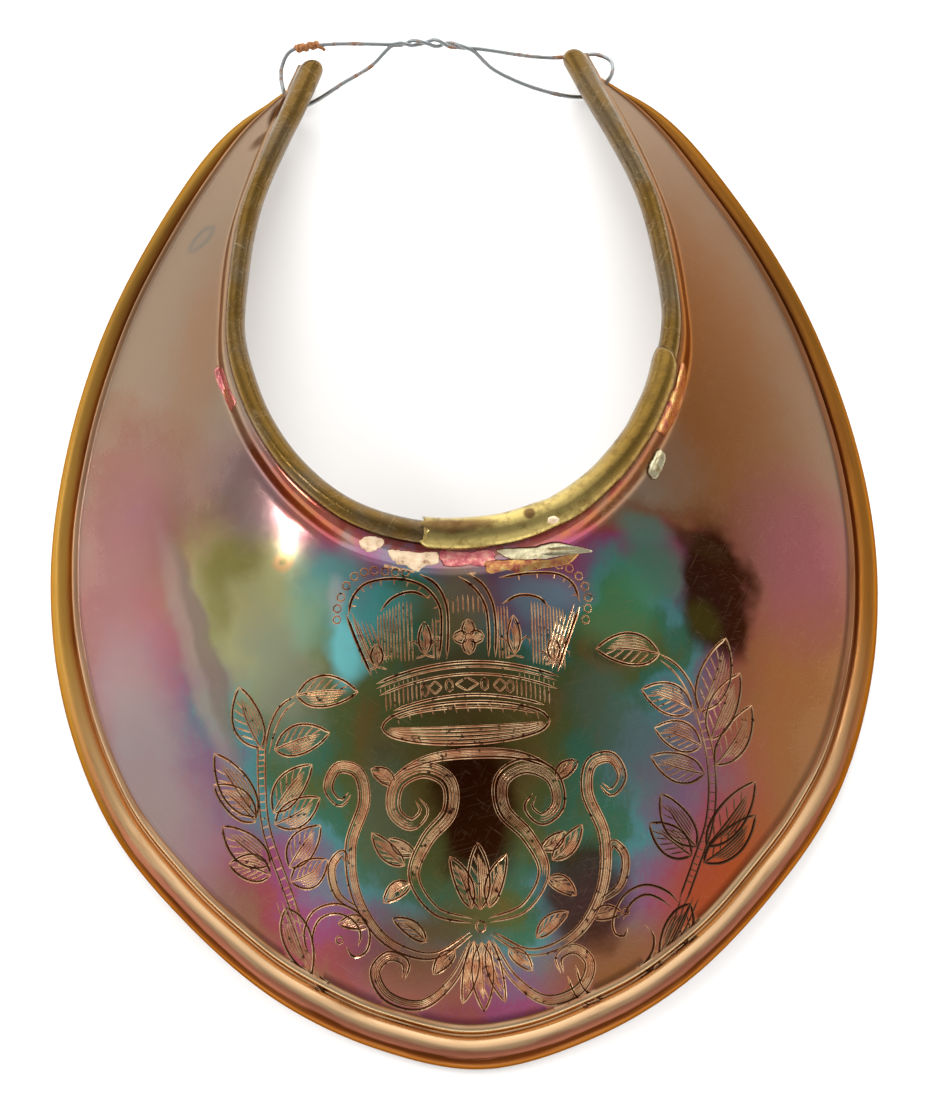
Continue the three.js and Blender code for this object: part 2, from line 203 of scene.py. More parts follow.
# %% Sizes of the plate
WIDTH = 100.8
LENGTH = 125.4
NECK_WIDTH = 51.2
NECK_DEPTH = 65.1
SIDE_FALL = 24.0
END_FALL = 24.0
CROWN = 0.4815
SHEET = 0.8
BEAD_WIDTH = 3.6
BEAD_HEIGHT = 2.7
GROOVE_WIDTH = 0.35
LINE_WIDTH = 1.15
LINE_HEIGHT = 0.5
NECK_RISE = 2.0
NECK_RAMP = 3.4
TUBE_RADIUS = 1.55
TUBE_WALL = 0.42
TUBE_CLEARANCE = 0.3
SHEET_ENTRY = 0.9
LEAST_FIELD = 3
NECK_SEAT = TUBE_RADIUS + TUBE_CLEARANCE
FULL_ROOM = NECK_RAMP + LEAST_FIELD + LINE_WIDTH + GROOVE_WIDTH + BEAD_WIDTH
SEAT_OUT = NECK_WIDTH / 2 + NECK_SEAT
BREADTH = WIDTH / 2 - SEAT_OUT

# One row from the bottom of the crescent up to a horn: the neck edge's share out and down, the
# plate's breadth beyond it, the outer edge's share down, and the size of the bead.
OUTLINE = [
    (0.0, 1.0, 0.0, 1.0, 1.0), (0.246, 0.988, 0.261, 0.977, 1.0),
    (0.5, 0.945, 0.476, 0.926, 1.0), (0.719, 0.865, 0.697, 0.843, 0.98),
    (0.855, 0.783, 0.895, 0.752, 0.96), (0.941, 0.7, 1.011, 0.637, 0.94),
    (1.0, 0.594, 1.0, 0.523, 0.92), (0.985, 0.472, 0.946, 0.412, 0.9),
    (0.926, 0.326, 0.794, 0.278, 0.88), (0.809, 0.195, 0.57, 0.148, 0.84),
    (0.711, 0.098, 0.346, 0.057, 0.8), (0.621, 0.0, 0.052, 0.0, 0.76),
]
LAST_ROW = len(OUTLINE) - 1


def smooth_curve(points, closed=False):
    """A centripetal Catmull-Rom curve: takes places counted in points, gives coordinates."""
    points = np.array(points, float)
    if closed:
        ringed = np.vstack([points[-1], points, points[0], points[1]])
    else:
        ringed = np.vstack([2 * points[0] - points[1], points, 2 * points[-1] - points[-2]])

    def at(place):
        place = np.asarray(place, float)
        last = len(points) - (0 if closed else 1)
        start = np.clip(np.floor(place).astype(int), 0, last - 1)
        w = (place - start)[..., None]
        p0, p1, p2, p3 = (ringed[start + k] for k in range(4))
        d0, d1, d2 = (np.maximum(np.linalg.norm(b - a, axis=-1), 1e-9)[..., None] ** 0.5
                      for a, b in ((p0, p1), (p1, p2), (p2, p3)))
        m1 = ((p1 - p0) / d0 - (p2 - p0) / (d0 + d1) + (p2 - p1) / d1) * d1
        m2 = ((p2 - p1) / d1 - (p3 - p1) / (d1 + d2) + (p3 - p2) / d2) * d1
        c2 = -3 * p1 + 3 * p2 - 2 * m1 - m2
        c3 = 2 * p1 - 2 * p2 + m1 + m2
        return p1 + m1 * w + c2 * w ** 2 + c3 * w ** 3

    return at


def both_sides(out, down):
    """Mirrors one side's points into the whole curve from the left horn to the right one."""
    half = np.stack([out, -down], axis=1)
    return smooth_curve(np.vstack([half[:0:-1] * [-1, 1], half]))


table = np.array(OUTLINE)
neck_curve = both_sides(table[:, 0] * NECK_WIDTH / 2, table[:, 1] * NECK_DEPTH)
edge_curve = both_sides(table[:, 0] * SEAT_OUT + table[:, 2] * BREADTH, table[:, 3] * LENGTH)

# %% [markdown]
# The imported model's origin is on the floor under the middle of the whole piece, while the
# plate's own table starts at the ends of the horns, so the horns' place in the frame is added
# to every point. A hand-beaten dome is never perfect: a few slow waves, some hundredths of a
# millimetre high, make its reflections swim as they do on real sheet.

# %% The dome
HORN_PLACE = np.array([0, 60.976, 25.997])


def waves(x, y):
    """Beaten unevenness of the sheet, in mm."""
    slow = np.sin(x / 7.1 + 0.8) * np.sin(y / 9.3 + 1.9) + 0.7 * np.sin(x / 4.3 - y / 5.9)
    return 0.022 * slow


def bare_dome(x, y):
    across = x / (WIDTH / 2)
    along = (y + CROWN * LENGTH) / (LENGTH / 2)
    return -SIDE_FALL * across ** 2 - END_FALL * along ** 2


def dome_normal(x, y):
    slope_x = -2 * SIDE_FALL * x / (WIDTH / 2) ** 2
    slope_y = -2 * END_FALL * (y + CROWN * LENGTH) / (LENGTH / 2) ** 2
    normal = np.stack([-slope_x, -slope_y, np.ones_like(slope_x)], axis=-1)
    return normal / np.linalg.norm(normal, axis=-1, keepdims=True)


class Stations:
    """Cross sections at places along the crescent, from -LAST_ROW at the left horn to LAST_ROW."""

    def __init__(self, rows):
        self.rows = np.asarray(rows, float)
        place = self.rows + LAST_ROW
        self.neck = neck_curve(place)
        out = edge_curve(place) - self.neck
        self.plan = np.linalg.norm(out, axis=1)
        self.out = out / self.plan[:, None]
        ends = self.neck + out
        rise = bare_dome(ends[:, 0], ends[:, 1]) - bare_dome(self.neck[:, 0], self.neck[:, 1])
        self.width = np.hypot(self.plan, rise)
        self.bead = np.interp(np.abs(self.rows), np.arange(LAST_ROW + 1), table[:, 4])

    def on_dome(self, t, h):
        """Points at distance t out from the neck and height h off the dome, one row a station."""
        reach = t / self.width[:, None] * self.plan[:, None]
        x = self.neck[:, 0, None] + self.out[:, 0, None] * reach
        y = self.neck[:, 1, None] + self.out[:, 1, None] * reach
        foot = np.stack([x, y, bare_dome(x, y)], axis=-1)
        return HORN_PLACE + foot + dome_normal(x, y) * (h + waves(x, y))[..., None]

    def round_neck(self, t, h):
        """The same in the neck edge's own square frame, where the tube is truly round."""
        x, y = self.neck[:, 0], self.neck[:, 1]
        normal = dome_normal(x, y)
        out = np.column_stack([self.out, np.zeros(len(x))])
        side = out - normal * np.sum(out * normal, axis=1, keepdims=True)
        side /= np.linalg.norm(side, axis=1, keepdims=True)
        foot = np.column_stack([x, y, bare_dome(x, y)])[:, None]
        return HORN_PLACE + foot + side[:, None] * t[..., None] + normal[:, None] * h[..., None]


# %% [markdown]
# A section is a list of points, each a distance from the neck and a height over the dome. Near
# the horns there is no room for the full border, so its parts shrink together, which is how the
# real border runs out to a flat tab at each wire hole.

# %% The plate's section
RAMP_STEPS, FIELD_STEPS, LINE_STEPS = 12, 46, 11


def smooth_step(share):
    return 0.5 - 0.5 * np.cos(np.pi * share)


def border_sizes(at):
    """How far the border is shrunk at each station, and half the bead's width there."""
    room_left = at.width - NECK_SEAT
    fit = room_left / (room_left ** 4 + FULL_ROOM ** 4) ** 0.25
    wobble = 1 + 0.02 * np.sin(at.rows * 2.3) + 0.012 * np.sin(at.rows * 7.1)
    return fit, BEAD_WIDTH / 2 * at.bead * fit * wobble


def plate_section(at):
    """Distances and heights of the plate's outline at every station, as two tables."""
    fit, wide = (values[:, None] for values in border_sizes(at))
    width = at.width[:, None]
    high = np.maximum(BEAD_HEIGHT / 2 * at.bead[:, None] * fit, SHEET / 2)
    line_end = width - 2 * wide - GROOVE_WIDTH * fit
    line_start = line_end - LINE_WIDTH * fit
    ramp_end = NECK_SEAT + NECK_RAMP * fit
    lift = NECK_RISE + SHEET / 2
    ramp, field, line = (np.linspace(0, 1, n)[None] for n in (RAMP_STEPS, FIELD_STEPS, LINE_STEPS))
    groove = np.array([[0.35, 0.75]])
    start = TUBE_RADIUS - TUBE_WALL - SHEET_ENTRY
    ones = np.ones_like(width)
    front_t = [ones * start, NECK_SEAT + (ramp_end - NECK_SEAT) * ramp,
               (ramp_end + (line_start - ramp_end) * field)[:, 1:]]
    front_h = [ones * lift, lift * (1 - smooth_step(ramp)) * ones, 0 * (field * ones)[:, 1:]]
    border_t = [(line_start + (line_end - line_start) * line)[:, 1:],
                line_end + (width - 2 * wide - line_end) * groove]
    border_h = [(LINE_HEIGHT * fit * np.sin(np.pi * line) ** 1.3)[:, 1:],
                -0.1 * fit * np.ones_like(groove)]
    inner, outer = (np.radians(np.linspace(*ends))[None] for ends in ((176, 96, 12), (90, -90, 18)))
    border_t.append(width - wide + wide * np.cos(np.hstack([inner, outer])))
    rising = -0.1 * fit + (2 * high - SHEET + 0.1 * fit) * np.sin(inner) ** 1.25
    border_h.append(np.hstack([rising, high - SHEET + high * np.sin(outer)]))
    front_t, front_h = np.hstack(front_t), np.hstack(front_h)
    keep = np.r_[0:RAMP_STEPS, RAMP_STEPS + 1:front_t.shape[1]:3][::-1]
    t = np.hstack([front_t, *border_t, front_t[:, keep]])
    h = np.hstack([front_h, *border_h, front_h[:, keep] - SHEET])
    return t, h


# %% [markdown]
# Every piece is made the same way: rings of points along a path, joined by faces and closed at
# both ends, which gives a true skin with an inside and an outside. A finished piece is then told
# which body it rides on, which slot its metal has, and which plain solid it stands for.

# %% Skins and pieces
def ring_mesh(name, rings, cap=True, closed=False):
    """A skin through rings of points given in the frame's own place, in mm."""
    count, around = rings.shape[:2]
    spans = count if closed else count - 1
    faces = []
    for ring in range(spans):
        here, there = ring * around, (ring + 1) % count * around
        for i in range(around):
            j = (i + 1) % around
            faces.append((here + i, here + j, there + j, there + i))
    if cap and not closed:
        faces.append(tuple(range(around - 1, -1, -1)))
        faces.append(tuple((count - 1) * around + i for i in range(around)))
    mesh = bpy.data.meshes.new(name)
    mesh.from_pydata((rings.reshape(-1, 3) * MM).tolist(), [], faces)
    mesh.validate()
    return mesh


def outward(mesh):
    """Turns all faces of a closed mesh to face out."""
    body = bmesh.new()
    body.from_mesh(mesh)
    bmesh.ops.recalc_face_normals(body, faces=body.faces)
    if body.calc_volume(signed=True) < 0:
        bmesh.ops.reverse_faces(body, faces=body.faces)
    body.to_mesh(mesh)
    body.free()


def piece(name, mesh, node=None):
    """A finished piece: it rides on the one body, and may stand for a plain solid."""
    thing = bpy.data.objects.new(name, mesh)
    scene.collection.objects.link(thing)
    for polygon in mesh.polygons:
        polygon.use_smooth = True
    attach(thing, "root")
    if node:
        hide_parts(node)
    return thing


def triangles(mesh):
    mesh.calc_loop_triangles()
    return len(mesh.loop_triangles)


# %% [markdown]
# The goldsmith would beat this from one sheet over a stake, then roll the edge over a wire to
# make the border. Here one closed skin is drawn through several hundred sections, so that the
# border, the raised line and the turned-up neck all belong to the same piece of metal.

# %% Build the plate's sheet
SECTIONS_PER_ROW = 14
plate_at = Stations(np.linspace(-LAST_ROW, LAST_ROW, 2 * LAST_ROW * SECTIONS_PER_ROW + 1))
plate_points = plate_at.on_dome(*plate_section(plate_at))
sheet_mesh = ring_mesh("plate", plate_points)
outward(sheet_mesh)
print("plate triangles before engraving:", triangles(sheet_mesh))

# %% [markdown]
# A tube of brass, slit along one side, is pushed over the neck edge so that the edge does not
# cut the coat. It is rolled by hand from strip, so it is not quite even, and its ends are
# hammered round. The slit faces the plate, and the sheet runs into it.

# %% The neck tube
SLOT = SHEET + 2 * TUBE_CLEARANCE
TUBE_END = 1.35


def slit_ring(outer, inner, steps):
    """A C-shaped section open towards the plate, as distances and heights from its middle."""
    gap_out, gap_in = math.asin(SLOT / 2 / outer), math.asin(SLOT / 2 / inner)
    far = np.linspace(gap_out, 2 * math.pi - gap_out, steps)
    near = np.linspace(2 * math.pi - gap_in, gap_in, steps // 2)
    t = np.concatenate([outer * np.cos(far), inner * np.cos(near)])
    h = np.concatenate([outer * np.sin(far), inner * np.sin(near)])
    return t, h


def round_points(rows, t, h):
    """Points in the neck edge's square frame where every point has its own place."""
    at = Stations(rows.ravel())
    return at.round_neck(t.reshape(-1, 1), h.reshape(-1, 1)).reshape(rows.shape + (3,))


def neck_lengths(rows):
    """Distance along the neck edge from the left horn to each row, in mm."""
    fine = np.linspace(-LAST_ROW, LAST_ROW, 2000)
    plan = neck_curve(fine + LAST_ROW)
    points = np.column_stack([plan, bare_dome(plan[:, 0], plan[:, 1])])
    run = np.r_[0, np.cumsum(np.linalg.norm(np.diff(points, axis=0), axis=1))]
    return np.interp(rows, fine, run), run, fine


rows = np.linspace(-LAST_ROW, LAST_ROW, 241)
run, whole_run, fine_rows = neck_lengths(rows)
ends = np.interp(TUBE_END * (1 - np.cos(np.linspace(0, 1, 7) * np.pi / 2)), whole_run, fine_rows)
rows = np.unique(np.r_[ends, rows, -ends])
run = neck_lengths(rows)[0]
from_end = np.minimum(run, run[-1] - run)
size = np.sqrt(1 - 0.7 * np.clip(1 - from_end / TUBE_END, 0, 1) ** 2)
uneven = 1 + 0.012 * np.sin(run / 3.7) + 0.009 * np.sin(run / 1.9 + 1)
t, h = slit_ring(TUBE_RADIUS, TUBE_RADIUS - TUBE_WALL, 26)
tube_t = t[None] * (size * uneven)[:, None]
tube_h = NECK_RISE + h[None] * (size * uneven)[:, None]
tube_mesh = ring_mesh("neck_tube", round_points(np.repeat(rows[:, None], t.size, 1), tube_t, tube_h))
outward(tube_mesh)
piece("neck_tube_rolled", tube_mesh, "neck_tube")

# %% [markdown]
# The right half of the tube was mended long ago with a sleeve of yellower brass slipped over it.
# Its lower end is torn and uneven, its upper end rounded off. Each point of the end carries its
# own place along the neck, which is all that a ragged end needs.

# %% The repair sleeve
SLEEVE_WALL = 0.3
SLEEVE_CLEARANCE = 0.2
SLEEVE_FROM, SLEEVE_TO = -2 / 3, 16 / 3
share = np.linspace(0, 1, 84)
t, h = slit_ring(TUBE_RADIUS + SLEEVE_CLEARANCE + SLEEVE_WALL, TUBE_RADIUS + SLEEVE_CLEARANCE, 30)
around = np.arctan2(h, t)
ragged = 0.05 * np.sin(5 * around) + 0.035 * np.sin(11 * around + 1) + 0.02 * np.sin(23 * around)
torn_end = ragged[None] * (1 - share[:, None]) ** 6
rows = SLEEVE_FROM + (SLEEVE_TO - SLEEVE_FROM) * share[:, None] + torn_end
run = neck_lengths(rows)[0]
from_top = np.clip(1 - (run.max() - run) / 1.6, 0, 1)
nick = 0.05 * np.exp(-((run - run.min() - 15.5) / 0.8) ** 2)
dents = 1 + 0.012 * np.sin(run * 0.9 + 2 * around) - nick
outer = np.hypot(t, h) > TUBE_RADIUS + SLEEVE_CLEARANCE + SLEEVE_WALL / 2
scale = np.where(outer[None], dents * (1 - 0.1 * from_top ** 2), 1.0)
sleeve_points = round_points(rows, t[None] * scale, NECK_RISE + h[None] * scale)
sleeve_mesh = ring_mesh("repair_sleeve", sleeve_points)
outward(sleeve_mesh)
piece("repair_sleeve_brass", sleeve_mesh, "repair_sleeve")

# %% [markdown]
# A bent wire joins the horns. It passes through both holes, its two strands are twisted together
# in the middle, and its ends are bound in a small rusty knot on the left. The tables give places
# along the line between the holes, heights over it, and how far each point stands in front.

# %% The hanging wire
WIRE_RADIUS = 0.28
WIRE_CLEARANCE = 0.35
WIRE_ARCH = 7.3
HOLE_ROW = 10.45
HOLE_RADIUS = WIRE_RADIUS + WIRE_CLEARANCE
HOLE_FOOT = NECK_SEAT + HOLE_RADIUS + 0.15
UPPER_STRAND = [(-1.03, 0.15, 1.7), (-1.04, 0.38, 1.3), (-1.03, 0.62, 1.1),
                (-0.97, 0.9, 1.2), (-0.75, 0.97, 1.4), (-0.52, 0.95, 1.4)]
RIGHT_HORN = [(0.5, 0.7, -0.1), (0.7, 0.7, -1.5), (0.87, 0.7, -1.5),
              (0.99, 0.68, -0.6), (1.08, 0.5, 0.4), (1.08, 0.22, 1.3)]
LOWER_RIGHT = [(0.93, -0.06, -1.1), (0.78, -0.04, -0.5), (0.52, 0.14, 0.4), (0.32, 0.42, 1.0)]
LOWER_LEFT = [(-0.46, 0.58, 1.0), (-0.62, 0.34, 0.5), (-0.8, 0.07, -0.4), (-0.93, -0.04, -1.1)]
hole_at = Stations([-HOLE_ROW, HOLE_ROW])
hole_centres = hole_at.on_dome(np.full((2, 1), HOLE_FOOT), np.zeros((2, 1)))[:, 0]
plan = hole_centres - HORN_PLACE
hole_normals = dome_normal(plan[:, 0], plan[:, 1])
middle = hole_centres.mean(0)
half_span = (hole_centres[1, 0] - hole_centres[0, 0]) / 2

# %% [markdown]
# There are three ways to give a place on the wire: across and up from the middle between the
# holes, through a hole at right angles to the sheet, and on one of the two strands as they turn
# round each other. The strands close up a little at both ends of the twist.

# %% Places on the wire
def from_middle(across, up_share, front):
    return middle + [across * half_span, up_share * WIRE_ARCH, front]


def through(side, height):
    return hole_centres[side] + hole_normals[side] * height


def twist(phase):
    """One of the two strands from left to right through the twisted part."""
    strand = []
    for share in np.linspace(0, 1, 13):
        rise = 0.92 - 0.14 * share + 0.08 * math.sin(math.pi * share)
        turn = phase + 4 * math.pi * share
        opened = math.sin(math.pi * min(1, 0.2 + share, 1.2 - share) / 2)
        spread = (WIRE_RADIUS + WIRE_CLEARANCE / 2) * opened
        centre = from_middle(-0.32 + 0.52 * share, rise, 1.2)
        strand.append(centre + [0, spread * math.cos(turn), spread * math.sin(turn)])
    return strand


# %% [markdown]
# A bar is a circle carried along the path. It turns only as much as the path turns, so it has
# no kinks, and on a closed loop the slip between the last circle and the first is spread evenly
# over the whole length.

# %% A round bar along a path
def swept(name, path, radius, around=10, closed=False):
    """A round bar along a path; the radius may change from point to point."""
    path = np.array(path)
    radius = np.broadcast_to(radius, len(path))
    ahead = np.roll(path, -1, 0) - np.roll(path, 1, 0)
    if not closed:
        ahead[0], ahead[-1] = path[1] - path[0], path[-1] - path[-2]
    ahead /= np.linalg.norm(ahead, axis=1, keepdims=True)
    side = np.cross(ahead[0], [0.3, 0.2, 1.0])
    sides = []
    for direction in ahead:
        side = side - direction * np.dot(side, direction)
        side /= np.linalg.norm(side)
        sides.append(side)
    sides = np.array(sides)
    if closed:
        last = sides[-1] - ahead[0] * np.dot(sides[-1], ahead[0])
        slip = math.atan2(np.dot(np.cross(sides[0], last), ahead[0]), np.dot(sides[0], last))
        turn = -slip * np.linspace(0, 1, len(path))[:, None]
        sides = sides * np.cos(turn) + np.cross(ahead, sides) * np.sin(turn)
    other = np.cross(ahead, sides)
    angle = np.linspace(0, 2 * math.pi, around, endpoint=False)[None, :, None]
    ring = sides[:, None] * np.cos(angle) + other[:, None] * np.sin(angle)
    mesh = ring_mesh(name, path[:, None] + ring * radius[:, None, None], closed=closed)
    outward(mesh)
    return mesh


# %% [markdown]
# The loop comes out of the left hole, runs over the top to the right horn, goes down through the
# hole there and comes back underneath. Wire is never quite straight again once it has been bent,
# so it gets slow little bends.

# %% Bend the wire
upper = [from_middle(*row) for row in UPPER_STRAND]
wire_stops = [through(0, WIRE_RADIUS), *upper, *twist(0), *(from_middle(*row) for row in RIGHT_HORN),
              through(1, WIRE_RADIUS), through(1, -SHEET - WIRE_RADIUS),
              *(from_middle(*row) for row in LOWER_RIGHT), *twist(math.pi)[::-1],
              *(from_middle(*row) for row in LOWER_LEFT), through(0, -SHEET - WIRE_RADIUS)]
wire_curve = smooth_curve(wire_stops, closed=True)
places = np.arange(0, len(wire_stops), 0.125)
bends = 0.05 * np.column_stack([np.sin(places * 1.7), np.sin(places * 2.3 + 1), np.cos(places * 1.9)])
wire_mesh = swept("hanging_wire", wire_curve(places) + bends, WIRE_RADIUS * 0.95, closed=True)
piece("hanging_wire_steel", wire_mesh, "hanging_wire")
knot_line = smooth_curve([upper[3], (upper[3] + upper[4]) / 2 + [0, 0.15, 0], upper[4]])

# %% [markdown]
# The ornament is cut by hand with a graver, a chisel with a V-shaped point: push it and it
# lifts a thread of metal, deeper where the line swells and fading out at both ends. Each line
# here is such a cut, a real groove in the sheet. A line is a few places on the plate, in mm
# across and up, that a smooth curve runs through, and the width that it swells to.

# %% Lines of the graver
CUT_DEPTH_SHARE = 0.42  # how deep a line is, as a share of its width
cuts = []


def cut(points, width=0.3, fade=(1.2, 1.2), step=0.55):
    """One graver line through the points, fading out over the given lengths at its two ends."""
    points = np.array(points, float)
    curve = smooth_curve(points) if len(points) > 2 else None
    fine = np.linspace(0, len(points) - 1, 30 * len(points))
    path = curve(fine) if curve else points[0] + (points[1] - points[0]) * fine[:, None]
    run = np.r_[0, np.cumsum(np.linalg.norm(np.diff(path, axis=0), axis=1))]
    count = max(5, int(run[-1] / step))
    stops = np.linspace(0, run[-1], count)
    path = np.column_stack([np.interp(stops, run, path[:, k]) for k in (0, 1)])
    swell = np.minimum(1, (stops + 0.12) / max(fade[0], 0.01))
    swell = np.minimum(swell, (run[-1] - stops + 0.12) / max(fade[1], 0.01))
    cuts.append((path, width * np.clip(swell, 0.12, 1)))


def offset(points, distance):
    """The line beside a line, on its left side for a positive distance."""
    points = np.array(points, float)
    ahead = np.gradient(points, axis=0)
    ahead /= np.linalg.norm(ahead, axis=1, keepdims=True)
    return points + np.column_stack([-ahead[:, 1], ahead[:, 0]]) * distance


def ring(x, y, radius, width=0.26, squash=1.0):
    turn = np.linspace(0, 2 * math.pi, 9)
    cut(np.column_stack([x + radius * np.cos(turn), y + radius * squash * np.sin(turn)]), width,
        fade=(0.2, 0.2), step=0.35)


# %% [markdown]
# A laurel leaf is the engraver's first exercise: two swelling lines from the stalk to the tip, a
# rib between them, and slanting hatches that shade one half and vein the other. Every leaf is
# one row: its tip, its foot, and how broad it is.

# %% Laurel branches
def leaf(tip_x, tip_y, foot_x, foot_y, width=3.4, bend=0.0, veins=5):
    tip, foot = np.array([tip_x, tip_y]), np.array([foot_x, foot_y])
    along = tip - foot
    across = np.array([-along[1], along[0]]) / np.linalg.norm(along)
    length = np.linalg.norm(along)

    def place(share, side):
        belly = math.sin(math.pi * share ** 0.85) ** 0.8 if 0 < share < 1 else 0
        arch = bend * math.sin(math.pi * share)
        return foot + along * share + across * (side * width / 2 * belly + arch)

    shares = np.linspace(0, 1, 7)
    for side in (-1, 1):
        cut([place(s, side) for s in shares], 0.36, fade=(0.6, 0.5))
    cut([place(s, 0) for s in shares[:-1]], 0.28, fade=(0.4, 1.6))
    for k in range(veins):
        share = 0.16 + 0.66 * k / veins
        lean = 1.3 / length
        cut([place(share, 0.08), place(min(share + lean, 0.93), 0.84)], 0.2, fade=(0.3, 0.6), step=0.35)
    for k in range(1, 5):
        stops = (0.12 + 0.03 * k, 0.35, 0.6, 0.86 - 0.05 * k)
        cut([place(s, -0.19 * k) for s in stops], 0.2, fade=(0.5, 0.9))


LEFT_LEAVES = [  # tip across, tip up, foot across, foot up, width, bend
    (-27.5, -19.4, -25.1, -26.9, 3.5, 0.5), (-13.1, -21.5, -20.6, -21.2, 3.6, 0.3),
    (-16.7, -25.9, -23.5, -27.2, 3.4, 0.3), (-30.9, -26.7, -26.0, -34.7, 3.6, 0.2),
    (-31.2, -30.3, -26.2, -35.2, 3.0, -0.3), (-19.0, -29.3, -24.0, -34.4, 3.3, 0.4),
    (-18.2, -33.2, -23.9, -35.7, 3.2, -0.2), (-30.4, -35.2, -24.7, -40.3, 3.4, 0.3),
    (-29.8, -39.6, -24.7, -41.4, 3.0, -0.3), (-18.3, -36.3, -22.4, -40.8, 3.3, 0.3),
    (-17.6, -40.3, -22.3, -42.4, 3.2, -0.3),
]
RIGHT_LEAVES = [
    (15.4, -17.5, 23.1, -17.9, 3.7, -0.3), (20.7, -22.1, 26.9, -24.3, 3.6, -0.2),
    (22.1, -26.5, 27.8, -28.4, 3.4, -0.2), (21.5, -29.8, 28.1, -31.6, 3.3, 0.3),
    (31.3, -15.6, 27.8, -24.5, 3.8, -0.3), (32.9, -19.6, 28.9, -27.7, 3.3, 0.2),
    (34.2, -23.3, 29.4, -30.6, 3.2, -0.4), (34.4, -32.1, 28.0, -40.0, 3.4, -0.2),
    (34.3, -36.0, 27.6, -41.8, 3.0, -0.4), (22.6, -34.0, 26.8, -40.0, 3.4, 0.3),
    (21.1, -37.4, 26.2, -41.0, 3.4, 0.1),
]
for row in LEFT_LEAVES + RIGHT_LEAVES:
    leaf(*row)

LEFT_STEM = [(-25.0, -26.0), (-25.2, -30.0), (-25.0, -35.8), (-22.8, -43.2), (-21.6, -47.0)]
RIGHT_STEM = [(27.6, -24.0), (28.9, -30.3), (28.6, -36.6), (26.6, -42.1), (24.9, -46.2)]
for stem, lean in ((LEFT_STEM, -1), (RIGHT_STEM, 1)):
    cut(offset(stem, 0.45), 0.27)
    cut(offset(stem, -0.45), 0.27)
    curve = smooth_curve(stem)
    for place in np.arange(0.25, 3.6, 0.16):
        spot, ahead = curve(place), curve(place + 0.05)
        side = np.array([ahead[1] - spot[1], spot[0] - ahead[0]])
        side /= np.linalg.norm(side)
        cut([spot - side * 0.42, spot + side * 0.42], 0.16, fade=(0.1, 0.1), step=0.3)
cut([(-20.6, -21.2), (-22.6, -22.3), (-24.0, -24.6), (-24.6, -27.0)], 0.34)
cut([(-20.6, -21.9), (-22.0, -22.9), (-23.3, -25.0), (-24.2, -27.6)], 0.24)
cut([(23.1, -17.9), (25.2, -19.2), (26.9, -21.6), (27.7, -25.0)], 0.34)
cut([(23.1, -18.6), (24.7, -19.9), (26.2, -22.1), (27.2, -25.4)], 0.24)

# %% [markdown]
# Each stem ends in a fluted sheath, and thin tendrils curl out of it along the border.

# %% Sheaths and tendrils
SHEATHS = [((-23.1, -45.2), (-20.4, -53.2), 3.4), ((25.9, -46.4), (22.0, -53.6), 3.2)]
for (top_x, top_y), (low_x, low_y), width in SHEATHS:
    leaf(low_x, low_y, top_x, top_y, width, veins=3)
    for k in (-1.1, -0.4, 0.4, 1.1):
        cut([(top_x + k, top_y + 0.8), ((top_x + low_x) / 2 + 0.7 * k, (top_y + low_y) / 2),
             (low_x + 0.3 * k, low_y + 1)], 0.2)
TENDRILS = [
    [(-20.5, -51.3), (-21.0, -48.3), (-19.8, -46.0), (-16.9, -45.3), (-14.2, -46.6), (-13.0, -48.8),
     (-13.6, -51.0), (-15.2, -51.4), (-15.9, -50.2)],
    [(-19.6, -51.6), (-20.0, -48.8), (-19.0, -46.9), (-16.9, -46.4), (-14.9, -47.4), (-14.1, -49.0),
     (-14.5, -50.3)],
    [(-21.0, -52.2), (-18.9, -55.2), (-15.8, -57.4), (-12.0, -58.8), (-8.6, -59.7)],
    [(-20.0, -52.5), (-18.2, -54.6), (-15.2, -56.5), (-11.9, -57.9)],
    [(24.6, -46.6), (23.2, -45.2), (20.5, -44.4), (17.8, -45.6), (16.3, -48.6), (16.6, -50.0),
     (17.7, -50.2), (18.1, -49.2)],
    [(23.6, -47.0), (22.4, -46.1), (20.5, -45.5), (18.7, -46.4), (17.5, -48.4)],
    [(20.2, -48.9), (21.2, -50.0), (21.2, -51.5), (19.8, -53.6), (17.5, -55.1)],
    [(24.0, -50.0), (21.6, -53.2), (18.6, -55.8), (15.0, -57.3), (12.6, -56.2), (11.6, -53.4)],
    [(22.4, -53.6), (19.2, -56.8), (15.1, -58.3), (11.8, -57.2), (10.6, -54.6)],
]
for tendril in TENDRILS:
    cut(tendril, 0.36, fade=(2.0, 1.0))
for x, y in ((-16.7, -49.4), (17.9, -47.4)):
    ring(x, y, 0.45)
print("lines so far:", len(cuts))

# %% [markdown]
# The crown is the traditional one: a padded ring, a jewelled circlet, fleurs-de-lis and crosses
# above it, and arches edged with pearls over a hatched velvet cap. Its middle line leans by a
# few tenths of a millimetre, as hand work does.

# %% Crown
def hatch(x_from, x_to, count, top, low, width=0.17):
    """Upright lines between two edges that are given as functions of the place across."""
    for x in np.linspace(x_from, x_to, count):
        cut([(x, top(x)), (x, low(x))], width, fade=(0.5, 0.5), step=0.5)


def bow(middle, drop, half=10.8):
    return lambda x: middle - drop * (x / half) ** 2


